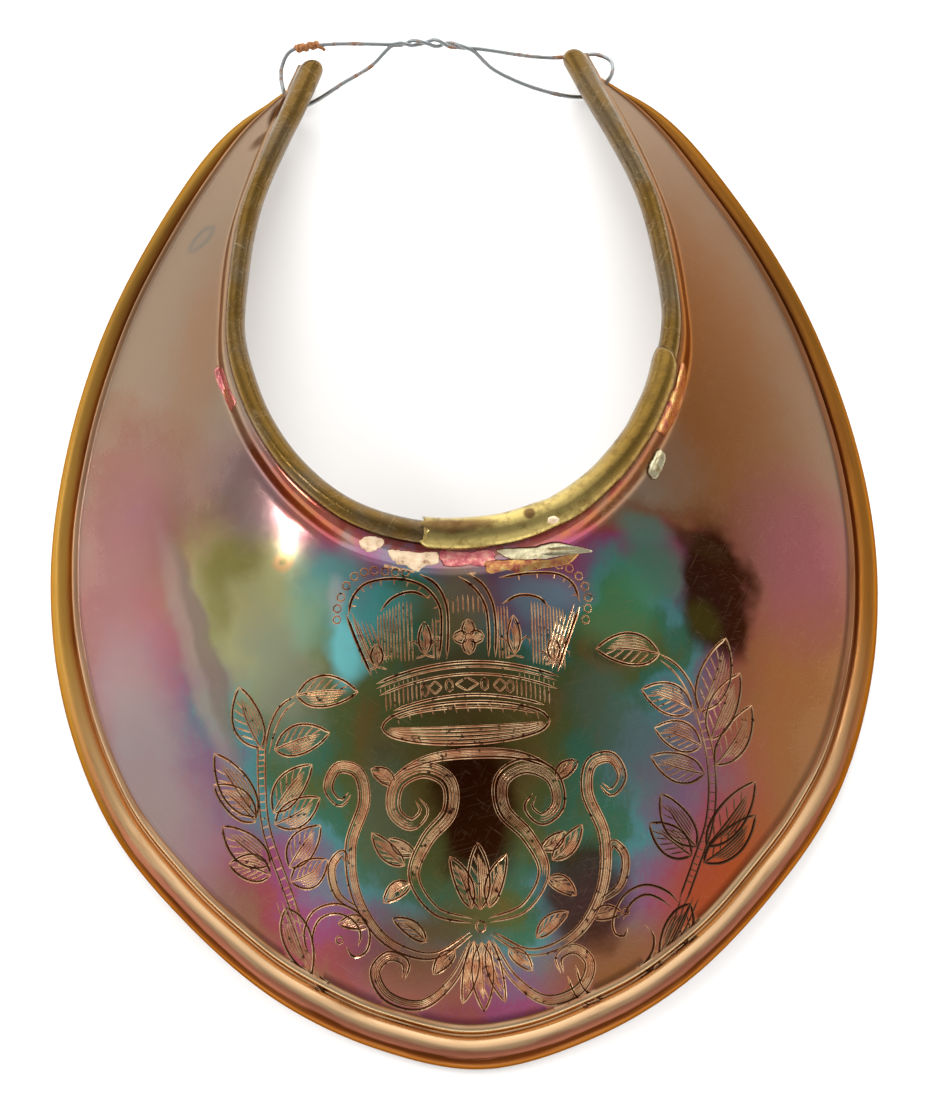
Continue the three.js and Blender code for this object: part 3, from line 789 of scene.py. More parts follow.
circlet_top, circlet_mid, circlet_low = bow(-18.8, 1.9), bow(-20.2, 2.0), bow(-22.6, 1.4, 9.1)
CIRCLET_LINES = [(circlet_top, 10.9, 0.36), (circlet_mid, 10.6, 0.3), (circlet_low, 9.0, 0.34)]
for edge, reach, width in CIRCLET_LINES:
    cut([(x, edge(x)) for x in np.linspace(-reach, reach, 9)], width)
cut([(x, circlet_top(x) - 0.55) for x in np.linspace(-10.9, 10.7, 9)], 0.22)
hatch(-9.8, -5.6, 9, lambda x: circlet_mid(x) - 0.2, lambda x: circlet_low(x) + 0.3)
hatch(5.8, 9.6, 8, lambda x: circlet_mid(x) - 0.2, lambda x: circlet_low(x) + 0.3)
hatch(-10.4, -6.0, 9, lambda x: circlet_top(x) - 0.8, lambda x: circlet_mid(x) + 0.2)
hatch(6.2, 10.2, 8, lambda x: circlet_top(x) - 0.8, lambda x: circlet_mid(x) + 0.2)
for x, half in ((-0.1, 1.4), (-3.9, 0.8), (3.8, 0.8)):
    y = circlet_mid(x) - 1.15
    cut([(x - half, y), (x, y + 0.75)], 0.24, fade=(0.3, 0.3), step=0.4)
    cut([(x, y + 0.75), (x + half, y)], 0.24, fade=(0.3, 0.3), step=0.4)
    cut([(x + half, y), (x, y - 0.75)], 0.24, fade=(0.3, 0.3), step=0.4)
    cut([(x, y - 0.75), (x - half, y)], 0.24, fade=(0.3, 0.3), step=0.4)
for x in (-2.2, 2.0, -5.1, 5.0):
    ring(x, circlet_mid(x) - 1.15, 0.42, squash=1.6)

# %% [markdown]
# Under the circlet lies the padded ring, drawn as a long oval that the engraver shaded with
# curved strokes below and short ticks above.

# %% Padded ring
turn = np.linspace(0, 2 * math.pi, 17)
ring_x, ring_y = -0.4 + 10.0 * np.cos(turn), -25.8 + 2.4 * np.sin(turn)
cut(np.column_stack([ring_x, ring_y]), 0.36, fade=(0.3, 0.3))
cut(np.column_stack([-0.4 + 9.0 * np.cos(turn[1:8]), -25.5 + 1.5 * np.sin(turn[1:8])]), 0.28)
for scale in (0.9, 0.72, 0.54, 0.36, 0.18):
    arc = np.linspace(math.pi + 0.2, 2 * math.pi - 0.2, 9)
    arc_x, arc_y = (9.2 + 0.5 * scale) * np.cos(arc) - 0.4, 2.4 * scale * np.sin(arc) - 25.8
    cut(np.column_stack([arc_x, arc_y]), 0.22)
for x in np.linspace(-8.6, 8.0, 13):
    top = -25.8 + 2.2 * math.sqrt(max(0, 1 - ((x + 0.4) / 10) ** 2))
    cut([(x, top), (x + 0.25, top - 1.0)], 0.16, fade=(0.2, 0.5), step=0.4)

# %% [markdown]
# The arches rise from the circlet and meet in the middle. Pearls edge the two outer ones, and
# close upright lines between them stand for the folds of the velvet cap.

# %% Arches, pearls and cap
for side in ([(-14.2, -12.3), (-13.1, -15.5), (-11.4, -19.8)],
             [(13.7, -12.5), (12.1, -16.5), (10.7, -20.2)]):
    cut(side, 0.42)
    cut(offset(side, 0.7 if side[0][0] < 0 else -0.7), 0.22)
ARCHES = [
    [(-13.9, -12.6), (-13.4, -10.6), (-12.0, -9.1), (-9.9, -8.6), (-7.1, -8.8), (-4.6, -9.9),
     (-3.0, -12.2), (-2.9, -15.2), (-3.3, -18.3)],
    [(-5.2, -8.3), (-3.3, -9.6), (-2.2, -12.0), (-2.1, -15.2), (-2.4, -18.4)],
    [(-0.6, -8.8), (1.2, -10.2), (2.4, -12.2), (2.7, -14.6), (2.6, -18.3)],
    [(0.6, -8.5), (2.3, -9.9), (3.3, -12.0), (3.6, -14.6), (3.4, -18.4)],
    [(4.2, -9.1), (8.0, -8.6), (11.4, -8.8), (13.0, -9.9), (13.7, -12.0)],
    [(-10.1, -12.4), (-8.6, -10.9), (-6.2, -10.3), (-4.2, -11.2)],
    [(4.4, -12.2), (6.6, -11.2), (9.0, -11.6), (10.1, -12.9)],
]
for arch in ARCHES:
    cut(arch, 0.4)
LEFT_PEARLS = [(-15.3, -12.9), (-15.2, -11.6), (-14.7, -10.3), (-14.0, -9.0), (-13.0, -8.0),
               (-11.8, -7.6), (-10.6, -7.5), (-9.3, -7.7), (-8.1, -7.9), (-6.9, -8.0)]
RIGHT_PEARLS = [(6.2, -7.8), (7.5, -7.6), (8.8, -7.5), (10.1, -7.6), (11.4, -7.7), (12.6, -8.1),
                (13.7, -9.0), (14.4, -10.2), (14.7, -11.5), (14.6, -12.8), (14.3, -14.1)]
for x, y in LEFT_PEARLS + RIGHT_PEARLS:
    ring(x, y, 0.48, 0.2)
hatch(-10.4, -8.2, 7, lambda x: -12.6 + 0.5 * (x + 10), lambda x: -18.2 + 0.1 * (x + 10))
hatch(3.9, 5.0, 4, lambda x: -12.4, lambda x: -18.6)
hatch(7.9, 11.6, 11, lambda x: -11.9 - 0.25 * (x - 8), lambda x: -19.2 - 0.2 * (x - 8))
hatch(-2.0, 2.2, 8, lambda x: -10.9 - 0.2 * abs(x), lambda x: -13.1)
for k in range(5):
    cut([(-13.4 + 0.5 * k, -13.0 - 0.1 * k), (-12.6 + 0.5 * k, -15.6),
         (-11.3 + 0.45 * k, -18.9 + 0.12 * k)], 0.18)
    cut([(13.0 - 0.5 * k, -13.2 - 0.1 * k), (11.9 - 0.45 * k, -16.4),
         (10.6 - 0.4 * k, -19.4 + 0.1 * k)], 0.18)
for points, width, last in ((ARCHES[0], 0.75, 7.3), (ARCHES[4], 0.7, 3.7)):
    arch = smooth_curve(points)
    for place in np.arange(0.6, last, 0.6):
        spot, ahead = arch(place), arch(place + 0.05)
        side = np.array([ahead[1] - spot[1], spot[0] - ahead[0]])
        side /= np.linalg.norm(side)
        cut([spot + side * 0.12, spot + side * width], 0.17, fade=(0.1, 0.3), step=0.3)
hatch(-7.8, -6.4, 4, lambda x: -11.4, lambda x: -18.4)
hatch(-3.9, -3.5, 2, lambda x: -13.6, lambda x: -18.4)

# %% [markdown]
# Last come the fleurs-de-lis and the cross that stand on the circlet in front of the cap.

# %% Fleurs-de-lis and cross
FLEURS = [(-4.9, -18.3, 4.4), (5.7, -18.7, 5.2), (-10.7, -19.3, 3.2), (10.4, -19.5, 3.4)]
for x, y, tall in FLEURS:
    leaf(x, y + tall, x, y + 0.6, 1.5, veins=2)
    for side in (-1, 1):
        cut([(x + side * 0.35, y + 0.9), (x + side * 1.0, y + 0.45 * tall),
             (x + side * 1.75, y + 0.52 * tall), (x + side * 1.8, y + 0.3 * tall)], 0.26)
        cut([(x, y + 0.5), (x + side * 1.1, y + 0.2)], 0.22, fade=(0.2, 0.4), step=0.4)
for dx, dy in ((0, 2.1), (0, -2.1), (1.9, 0), (-1.9, 0)):
    leaf(0.3 + dx, -15.9 + dy, 0.3, -15.9, 1.5, veins=2)
ring(0.3, -15.9, 0.42)
print("lines with the crown:", len(cuts))

# %% [markdown]
# Below the crown the real plate bears a monogram. Letters are not copied here: the same space
# holds foliate scrollwork of the same weight, mirrored scrolls with leaves about a bud. It is the
# stock in trade of a hand engraver, built from bands: two edges and shading lines between.

# %% Scrollwork in place of the monogram
SCROLL_MIDDLE = 0.4


def band(points, width, shade=3):
    """A swelling ribbon: two edge lines and a few shading lines along its outer side."""
    points = np.array(points, float)
    curve = smooth_curve(points)
    places = np.linspace(0, len(points) - 1, 5 * len(points))
    path = curve(places)
    swell = np.sin(np.pi * np.linspace(0.06, 0.94, len(path))) ** 0.7
    ahead = np.gradient(path, axis=0)
    ahead /= np.linalg.norm(ahead, axis=1, keepdims=True)
    side = np.column_stack([-ahead[:, 1], ahead[:, 0]]) * (width / 2 * swell)[:, None]
    cut(path + side, 0.34, fade=(1.5, 1.0))
    cut(path - side, 0.3, fade=(1.5, 1.0))
    inner = slice(len(path) // 6, -len(path) // 6)
    for k in range(shade):
        cut((path - side * (0.6 - 0.42 * k))[inner], 0.2, fade=(1.5, 1.5))


SCROLLS = [  # places from the scrollwork's middle line, and width
    ([(1.0, -48.2), (5.4, -46.8), (7.8, -42.8), (6.0, -38.8), (3.2, -35.8), (3.2, -32.4), (6.0, -30.9),
      (9.2, -32.2), (9.8, -35.4), (7.8, -37.0), (6.2, -35.6), (7.0, -34.2)], 1.6),
    ([(1.2, -49.6), (6.0, -51.9), (11.4, -49.9), (14.7, -44.9), (15.2, -38.9), (13.3, -33.8),
      (14.0, -30.6), (16.4, -30.0), (17.6, -32.2), (16.2, -34.0), (15.0, -33.0)], 1.2),
    ([(1.2, -50.4), (3.6, -54.6), (7.6, -57.3), (11.8, -56.0), (13.0, -53.2), (11.2, -51.6),
      (9.2, -52.6), (9.6, -54.3)], 1.1),
    ([(9.0, -31.0), (5.4, -29.7), (0.0, -29.3), (-5.4, -29.7), (-9.0, -31.0)], 0.9),
    ([(13.9, -46.6), (17.0, -44.4), (17.6, -41.0), (16.2, -39.7), (15.7, -41.0)], 0.8),
]
for points, width in SCROLLS:
    crosses_middle = points[0][0] > 0 > points[-1][0]
    for side in (1,) if crosses_middle else (1, -1):
        band([(SCROLL_MIDDLE + side * x, y) for x, y in points], width)
SCROLL_LEAVES = [  # tip across and up, foot across and up, width, bend
    (0.0, -39.4, 0.0, -47.0, 2.6, 0.0), (0.0, -58.4, 0.0, -50.6, 2.6, 0.0),
    (3.4, -40.8, 1.0, -46.8, 2.0, 0.3), (2.6, -57.4, 0.9, -50.4, 1.8, -0.3),
    (12.6, -37.6, 8.8, -41.6, 1.9, -0.3), (11.6, -45.6, 8.2, -43.6, 1.8, 0.3),
    (10.6, -38.4, 7.6, -40.4, 1.6, -0.2), (12.4, -30.4, 9.6, -32.4, 1.6, 0.2),
    (10.6, -47.4, 6.6, -50.3, 1.7, 0.3), (17.2, -47.6, 13.4, -48.0, 1.6, 0.3),
    (6.0, -54.0, 3.2, -51.4, 1.6, 0.2),
]
for tip_x, tip_y, foot_x, foot_y, width, bend in SCROLL_LEAVES:
    for side in ((1, -1) if tip_x else (1,)):
        leaf(SCROLL_MIDDLE + side * tip_x, tip_y, SCROLL_MIDDLE + side * foot_x, foot_y, width,
             bend * side, veins=4)
ring(SCROLL_MIDDLE, -48.8, 0.6)
print("lines in all:", len(cuts))

# %% [markdown]
# All lines are cut from the sheet in a few passes, and the lines of one pass must not touch. A
# cutter is a long wedge whose point runs below the surface and rises towards it where the line
# fades.

# %% Wedges
ABOVE = 0.12  # how far a cutter stands out of the sheet, so that it cuts clean
KEPT_CLEAR = 0.34  # room left on each side of a line within one pass


def lowered(x, y, h):
    """Places above or below the front face, given across and up in the frame, in mm."""
    table_y = y - HORN_PLACE[1]
    z = HORN_PLACE[2] + bare_dome(x, table_y)
    normal = dome_normal(x, table_y)
    return np.stack([x, y, z], axis=-1) + normal * (h + waves(x, table_y))[..., None]


def wedge(path, widths):
    ahead = np.gradient(path, axis=0)
    ahead /= np.maximum(np.linalg.norm(ahead, axis=1, keepdims=True), 1e-9)
    side = np.column_stack([-ahead[:, 1], ahead[:, 0]])
    depth = widths * CUT_DEPTH_SHARE
    half = (widths / 2) * (1 + ABOVE / depth)
    left, right_side = path + side * half[:, None], path - side * half[:, None]
    lip = np.full(len(path), ABOVE)
    edges = ((left, lip), (path, -depth), (right_side, lip))
    return np.stack([lowered(edge[:, 0], edge[:, 1], h) for edge, h in edges], axis=1)


# %% [markdown]
# The lines are dealt out one by one, those with the most places first. Each goes to the first
# pass whose other lines all stay clear of it, and a new pass is opened when there is none.

# %% Deal the lines out
passes = []
for path, widths in sorted(cuts, key=lambda one: -len(one[0])):
    reach = widths.max() / 2 + KEPT_CLEAR
    for group in passes:
        near = np.linalg.norm(group["path"][:, None] - path[None], axis=2) - group["reach"][:, None]
        if near.min() > reach:
            break
    else:
        group = {"path": np.empty((0, 2)), "reach": np.empty(0), "wedges": []}
        passes.append(group)
    group["path"] = np.vstack([group["path"], path])
    group["reach"] = np.r_[group["reach"], np.full(len(path), reach)]
    group["wedges"].append(wedge(path, widths))
print("passes of the graver:", len(passes))

# %% [markdown]
# All wedges of one pass go into one mesh, so that the sheet is cut once for the whole pass.

# %% One cutter for a pass
def joined_rings(name, parts):
    """Several closed skins in one mesh."""
    spots, faces = [], []
    for rings in parts:
        base, (count, around) = len(spots), rings.shape[:2]
        spots.extend(map(tuple, rings.reshape(-1, 3) * MM))
        for a in range(count - 1):
            for i in range(around):
                j = (i + 1) % around
                here, there = base + a * around, base + (a + 1) * around
                faces.append((here + i, here + j, there + j, there + i))
        faces.append(tuple(base + i for i in range(around - 1, -1, -1)))
        faces.append(tuple(base + (count - 1) * around + i for i in range(around)))
    mesh = bpy.data.meshes.new(name)
    mesh.from_pydata(spots, [], faces)
    outward(mesh)
    return mesh


# %% [markdown]
# The wire holes are punched in the same pass as the cuts. The left one has torn into a slit. The
# old metal shows inside the cuts, so their walls get a second material, found by how far they lean
# away from the dome.

# %% Punch the holes, cut the lines
PUNCH_REACH = 2.5
PUNCH_SIDES = 24


def punch(spot, reach, long=0.0, toward=(1, 0)):
    """A round or drawn-out punch through the sheet."""
    turn = np.linspace(0, 2 * math.pi, PUNCH_SIDES, endpoint=False)
    lean = np.array(toward) / np.linalg.norm(toward)
    ripple = reach * (1 + 0.05 * np.sin(3 * turn))
    flat = np.column_stack([ripple * np.cos(turn), ripple * np.sin(turn)])
    flat = flat + lean * (long * (flat @ lean > 0))[:, None]
    x, y = spot[0] + flat[:, 0], spot[1] + flat[:, 1]
    return np.stack([lowered(x, y, np.full(PUNCH_SIDES, h)) for h in (-PUNCH_REACH, PUNCH_REACH)])


holes = [punch(hole_centres[0], HOLE_RADIUS, 1.5, (-0.55, -0.84)), punch(hole_centres[1], HOLE_RADIUS)]
blank = bpy.data.objects.new("blank", sheet_mesh)
scene.collection.objects.link(blank)
before = np.empty(len(sheet_mesh.vertices) * 3)
sheet_mesh.vertices.foreach_get("co", before)
sheet_mesh.polygons.foreach_set("use_smooth", np.ones(len(sheet_mesh.polygons), bool))
old_normals = np.empty_like(before)
sheet_mesh.vertex_normals.foreach_get("vector", old_normals)
cutters = [joined_rings("holes", holes)] + [joined_rings("pass", group["wedges"]) for group in passes]
for number, cutter_mesh in enumerate(cutters):
    cutter = bpy.data.objects.new("cutter", cutter_mesh)
    scene.collection.objects.link(cutter)
    cutting = blank.modifiers.new("cut_%d" % number, "BOOLEAN")
    cutting.operation = "DIFFERENCE"
    cutting.solver = "MANIFOLD"
    cutting.object = cutter
graph = bpy.context.evaluated_depsgraph_get()
cut_mesh = bpy.data.meshes.new_from_object(blank.evaluated_get(graph))
cut_mesh.name = "gilt_plate"
for thing in [blank] + [other for other in bpy.data.objects if other.name.startswith("cutter")]:
    bpy.data.objects.remove(thing)
print("plate triangles after engraving:", triangles(cut_mesh))

# %% [markdown]
# The repair was done with soft solder, and badly: cream-coloured patches have run out beside the
# tube, and strips of the gilt skin have torn loose at the crown. Each is a thin scrap with a
# ragged edge that is laid on the sheet as it really runs there, so the sheet is asked for its
# height under each point.

# %% Scraps of solder and torn skin
sheet_tree = BVHTree.FromPolygons([tuple(v.co) for v in sheet_mesh.vertices],
                                  [tuple(p.vertices) for p in sheet_mesh.polygons])


def on_sheet(x, y, h):
    """The place at a height over the sheet's upper face, all in mm."""
    hit, normal = sheet_tree.ray_cast(Vector((x * MM, y * MM, 0.05)), Vector((0, 0, -1)))[:2]
    if hit is None:
        return lowered(np.array([x]), np.array([y]), np.array([h]))[0]
    return np.array(hit) / MM + np.array(normal) * h


def scrap(name, outline, thick, lift, ragged=0.12, seed=1, curl=0.0):
    """A thin scrap: its edge is a closed outline in mm, made ragged; the middle stands proud."""
    random = np.random.default_rng(seed)
    count = 72
    edge = smooth_curve(outline, closed=True)(np.linspace(0, len(outline), count, endpoint=False))
    heart = edge.mean(0)
    turn = np.linspace(0, 2 * math.pi, count, endpoint=False)
    jag = sum(np.sin(turn * k + random.uniform(0, 6)) / k ** 0.5 for k in (5, 9, 14, 23)) * ragged
    away = edge - heart
    edge = edge + away / np.linalg.norm(away, axis=1, keepdims=True) * jag[:, None]
    rings = []
    for share, high in ((1.0, -0.08), (1.0, 0.75 * thick), (0.93, thick), (0.7, thick),
                        (0.42, thick), (0.14, thick)):
        lump = 0.2 * thick * np.sin(3 * turn + 9 * share + seed)
        rise = lift + high + (lump if share < 1 else 0) + curl * (away @ [0.6, -0.8]).clip(0) * share
        ring = heart + (edge - heart) * share
        rings.append([on_sheet(x, y, h) for (x, y), h in zip(ring, np.broadcast_to(rise, count))])
    mesh = ring_mesh(name, np.array(rings))
    outward(mesh)
    return mesh


SOLDER = [  # name, outline, thickness, gap under it, raggedness
    ("solder_left", [(-12.2, -4.2), (-10.4, -3.9), (-9.2, -4.6), (-9.8, -5.2), (-11.4, -5.3)],
     0.07, 0.04, 0.09),
    ("solder_patch", [(-7.4, -5.9), (-4.8, -6.2), (-2.9, -6.3), (-3.0, -7.3), (-4.6, -7.5),
                      (-5.6, -8.0), (-6.7, -7.2), (-8.0, -6.9)], 0.08, 0.04, 0.11),
    ("solder_run", [(-8.8, -5.6), (-7.2, -5.9), (-6.8, -6.8), (-8.2, -6.6)], 0.06, 0.03, 0.08),
]
TORN = [  # the same
    ("skin_rose_band", [(-2.6, -6.2), (0.3, -6.4), (3.6, -6.3), (3.8, -7.6), (0.4, -7.7), (-2.4, -7.5)],
     0.04, 0.03, 0.12),
    ("skin_gold_edge", [(2.6, -7.5), (4.8, -7.2), (8.2, -7.1), (11.4, -6.9), (13.8, -6.3), (12.6, -7.5),
                        (9.6, -8.0), (6.6, -8.6), (4.8, -8.1), (3.0, -8.6)], 0.07, 0.04, 0.20),
    ("skin_pale_flap", [(4.0, -6.3), (8.0, -5.9), (11.6, -5.2), (15.4, -6.0), (12.4, -6.5), (9.0, -6.9),
                        (5.4, -7.0)], 0.07, 0.12, 0.10),
    ("skin_oval_flap", [(22.6, 3.8), (23.2, 5.6), (24.2, 6.8), (24.8, 5.9), (24.2, 4.3), (23.4, 3.1)],
     0.14, 0.1, 0.08),
    ("skin_copper_strip", [(23.4, 9.0), (24.9, 11.4), (26.4, 14.4), (27.4, 17.6), (27.9, 16.6),
                           (27.2, 13.2), (25.9, 10.2), (24.4, 8.4)], 0.1, 0.05, 0.14),
    ("skin_left_strip", [(-26.6, 14.6), (-27.4, 16.6), (-28.7, 20.4), (-29.3, 20.0), (-28.2, 16.4),
                         (-27.2, 14.2)], 0.04, 0.02, 0.16),
]
solder_meshes = [scrap(name, line, thick, lift, ragged, seed)
                 for seed, (name, line, thick, lift, ragged) in enumerate(SOLDER)]
torn_meshes = [scrap(name, line, thick, lift, ragged, seed + 7, 0.05 if "flap" in name else 0.0)
               for seed, (name, line, thick, lift, ragged) in enumerate(TORN)]
for mesh in solder_meshes + torn_meshes:
    piece(mesh.name, mesh)
print("scraps:", [mesh.name for mesh in solder_meshes + torn_meshes])

# %% [markdown]
# A grey blob of solder sits on the sleeve. The wire's free end is wound tightly round its other
# strand, and rust has swollen the turns into two lobes with a short stub at the end.

# %% Blob and knot
def lump(name, middle, radii, seed):
    """A small cast blob with an uneven skin."""
    random = np.random.default_rng(seed)
    phases = random.uniform(0, 6, 3)
    polar = np.linspace(0.06, math.pi - 0.06, 14)[:, None]
    turn = np.linspace(0, 2 * math.pi, 24, endpoint=False)[None]
    swell = 1 + 0.08 * np.sin(3 * turn + phases[0]) * np.sin(2 * polar)
    swell = swell + 0.06 * np.sin(5 * turn + phases[1])
    ball = np.stack([swell * np.sin(polar) * np.cos(turn), swell * np.sin(polar) * np.sin(turn),
                     np.cos(polar) * np.ones_like(turn)], axis=-1)
    mesh = ring_mesh(name, np.array(middle) + ball * np.array(radii))
    outward(mesh)
    return mesh


sleeve_at = Stations(np.array([1.55]))
blob_place = sleeve_at.round_neck(np.array([[0.9]]), np.array([[NECK_RISE + 1.85]]))[0, 0]
blob_mesh = lump("solder_blob", blob_place, (0.75, 0.5, 0.28), 3)
piece("solder_blob", blob_mesh)

TURNS = 3.5
share = np.linspace(0, 1, 90)
centre_line = knot_line(0.25 + share * 1.4)
angle = 2 * math.pi * TURNS * share
reach = 0.34 + 0.07 * np.sin(share * math.pi) + 0.05 * np.sin(share * 17)
windings = [0.08 * np.sin(angle * 2), reach * np.cos(angle), reach * np.sin(angle)]
coil = centre_line + np.column_stack(windings)
stub = coil[-1] + np.array([[0.35, -0.15, 0.05], [0.7, -0.45, 0.0]])
knot_mesh = swept("wire_knot", np.vstack([coil, stub]), 0.21)
piece("wire_knot", knot_mesh)
lobe_meshes = [lump("knot_lobe_left", centre_line[24], (1.0, 0.55, 0.5), 5),
               lump("knot_lobe_right", centre_line[66], (0.8, 0.48, 0.45), 8)]
for mesh in lobe_meshes:
    piece(mesh.name, mesh)

# %% [markdown]
# The sheet was smooth before it was cut, and it must still shine as one curved face between the
# lines. So each corner keeps the direction of the uncut sheet, new corners get the dome's own
# direction, and only the walls of the cuts and holes keep their flat facets.

# %% Shine of the cut sheet
SAME_SPOT = 0.002 * MM
OLD_CORNER_AGREES = 0.35
NEW_CORNER_AGREES = 0.985
DEEPEST_WALL = -0.5


def read(mesh, layer, name, count, width):
    values = np.empty(count * width)
    getattr(mesh, layer).foreach_get(name, values)
    return values.reshape(-1, width)


old_spots, old_normals = before.reshape(-1, 3), old_normals.reshape(-1, 3)
tree = KDTree(len(old_spots))
for index, spot in enumerate(old_spots):
    tree.insert(spot, index)
tree.balance()
spots = read(cut_mesh, "vertices", "co", len(cut_mesh.vertices), 3)
found = [tree.find(spot) for spot in spots]
nearest = np.array([hit[1] for hit in found])
kept = np.array([hit[2] for hit in found]) < SAME_SPOT


def front_direction(x, y):
    """The dome's direction with its beaten waves, at places given in the frame, in mm."""
    step = 0.05
    left, right_spot = lowered(x - step, y, 0 * x), lowered(x + step, y, 0 * x)
    low_spot, high_spot = lowered(x, y - step, 0 * x), lowered(x, y + step, 0 * x)
    normal = np.cross(right_spot - left, high_spot - low_spot)
    return normal / np.linalg.norm(normal, axis=-1, keepdims=True)


directions = front_direction(spots[:, 0] / MM, spots[:, 1] / MM)
table_y = spots[:, 1] / MM - HORN_PLACE[1]
height = (spots[:, 2] / MM - HORN_PLACE[2] - bare_dome(spots[:, 0] / MM, table_y)) * directions[:, 2]
corner_of = np.empty(len(cut_mesh.loops), int)
cut_mesh.loops.foreach_get("vertex_index", corner_of)
face_normals = read(cut_mesh, "polygons", "normal", len(cut_mesh.polygons), 3)
face_size = np.empty(len(cut_mesh.polygons), int)
cut_mesh.polygons.foreach_get("loop_total", face_size)
face_of = np.repeat(np.arange(len(face_size)), face_size)
new_front = np.where((height > -SHEET / 2)[:, None], directions, -directions)
smooth = np.where(kept[:, None], old_normals[nearest], new_front)[corner_of]
flat = face_normals[face_of]
agree = np.sum(smooth * flat, axis=1)
corner_kept = kept[corner_of]
follows = np.where(corner_kept, agree > OLD_CORNER_AGREES, agree > NEW_CORNER_AGREES)
all_normals = np.where(follows[:, None], smooth, flat)
deep = np.zeros(len(face_size))
np.maximum.at(deep, face_of, np.where(corner_kept, 0, 1))
lean = np.sum(face_normals * directions[corner_of[np.r_[0, np.cumsum(face_size)[:-1]]]], axis=1)
face_height = np.zeros(len(face_size))
np.minimum.at(face_height, face_of, height[corner_of])
walls = (deep > 0) & (np.abs(lean) < NEW_CORNER_AGREES) & (face_height > DEEPEST_WALL)
cut_mesh.polygons.foreach_set("use_smooth", np.ones(len(face_size), bool))
cut_mesh.normals_split_custom_set(all_normals.tolist())

# %% [markdown]
# Each corner also learns how far it is from the neck and from the rim, for the finish. The rim's
# distance is counted as if the border had its full breadth everywhere, so its colours shrink
# along with it towards the horns.

# %% Measures on the cut sheet
section_t, section_h = plate_section(plate_at)
around = section_t.shape[1]
points_t = section_t.ravel()
fit, bead_half = (np.repeat(values, around) for values in border_sizes(plate_at))
inward = np.repeat(plate_at.width, around) - points_t
measures = {
    "from_neck": points_t,
    "from_rim": np.where(inward < 2 * bead_half, inward / (2 * bead_half) * BEAD_WIDTH,
                         BEAD_WIDTH + (inward - 2 * bead_half) / fit),
    "along": np.repeat(plate_at.rows, around),
    "height": section_h.ravel(),
}
values_here = {name: values[nearest] for name, values in measures.items()}
values_here["depth"] = np.where(kept, 0, np.clip(-height, 0, 0.4))
for name, values in values_here.items():
    layer = cut_mesh.attributes.new(name, "FLOAT", "POINT")
    layer.data.foreach_set("value", values.astype(np.float32))
print("walls of cuts:", int(walls.sum()), "of", len(walls), "faces")

# %% [markdown]
# The finishes share a few effects. Each effect is a group with its own inputs and outputs:
# places go in, a mask or a colour comes out. Places are in millimetres on the object.

# %% Node helpers
class Sheet:
    """Adds nodes to one tree with few words: a kind, its settings, and what feeds it."""

    def __init__(self, tree):
        self.tree = tree
        self.ragged_places = {}
        tree.nodes.clear()

    def add(self, kind, feeds=(), **settings):
        node = self.tree.nodes.new("ShaderNode" + kind)
        for key, value in settings.items():
            setattr(node, key, value)
        for socket, value in dict(feeds).items():
            target = node.inputs[socket]
            if isinstance(value, bpy.types.NodeSocket):
                self.tree.links.new(value, target)
            else:
                target.default_value = value
        return node

    def math(self, how, a, b=0.0, clamp=False):
        return self.add("Math", {0: a, 1: b}, operation=how, use_clamp=clamp).outputs[0]

    def vector(self, how, a, b=(0, 0, 0)):
        node = self.add("VectorMath", {0: a, 1: b}, operation=how)
        return node.outputs["Value" if how == "LENGTH" else "Vector"]

    def noise(self, place, scale, detail=3.0, rough=0.55, twist=0.0):
        node = self.add("TexNoise", {"Vector": place, "Scale": scale, "Detail": detail,
                                     "Roughness": rough, "Distortion": twist})
        return node.outputs["Fac"]

    def ramp(self, value, stops, mode="LINEAR"):
        node = self.add("ValToRGB", {"Fac": value})
        node.color_ramp.interpolation = mode
        while len(node.color_ramp.elements) < len(stops):
            node.color_ramp.elements.new(1.0)
        for element, (place, colour) in zip(node.color_ramp.elements, stops):
            element.position = place
            shade = colour if isinstance(colour, tuple) else (colour,) * 3
            element.color = (*shade, 1)
        return node.outputs["Color"]

    def span(self, value, low, high, to_low=0.0, to_high=1.0):
        node = self.add("MapRange", {"Value": value, "From Min": low, "From Max": high,
                                     "To Min": to_low, "To Max": to_high},
                        interpolation_type="SMOOTHSTEP")
        return node.outputs["Result"]

    def mix(self, share, a, b, blend="MIX"):
        node = self.add("Mix", data_type="RGBA", blend_type=blend)
        for index, value in ((0, share), (6, a), (7, b)):
            if isinstance(value, bpy.types.NodeSocket):
                self.tree.links.new(value, node.inputs[index])
            else:
                node.inputs[index].default_value = (*value, 1) if isinstance(value, tuple) else value
        return node.outputs[2]

    def attribute(self, name):
        return self.add("Attribute", attribute_name=name).outputs["Fac"]

    def group(self, tree, feeds):
        node = self.tree.nodes.new("ShaderNodeGroup")
        node.node_tree = tree
        for socket, value in feeds.items():
            if isinstance(value, bpy.types.NodeSocket):
                self.tree.links.new(value, node.inputs[socket])
            else:
                node.inputs[socket].default_value = value
        return node.outputs


# %% [markdown]
# A shared effect starts as an empty group with named sockets for what comes in and what goes out.

# %% An empty group
def effect(name, inputs, outputs):
    """An empty shared group, with a node for what comes in and one for what goes out."""
    tree = bpy.data.node_groups.new(name, "ShaderNodeTree")
    for title, kind, value in inputs:
        socket = tree.interface.new_socket(title, in_out="INPUT", socket_type="NodeSocket" + kind)
        if value is not None:
            socket.default_value = value
    for title, kind in outputs:
        tree.interface.new_socket(title, in_out="OUTPUT", socket_type="NodeSocket" + kind)
    sheet = Sheet(tree)
    inside, outside = tree.nodes.new("NodeGroupInput"), tree.nodes.new("NodeGroupOutput")
    return tree, sheet, inside.outputs, outside.inputs


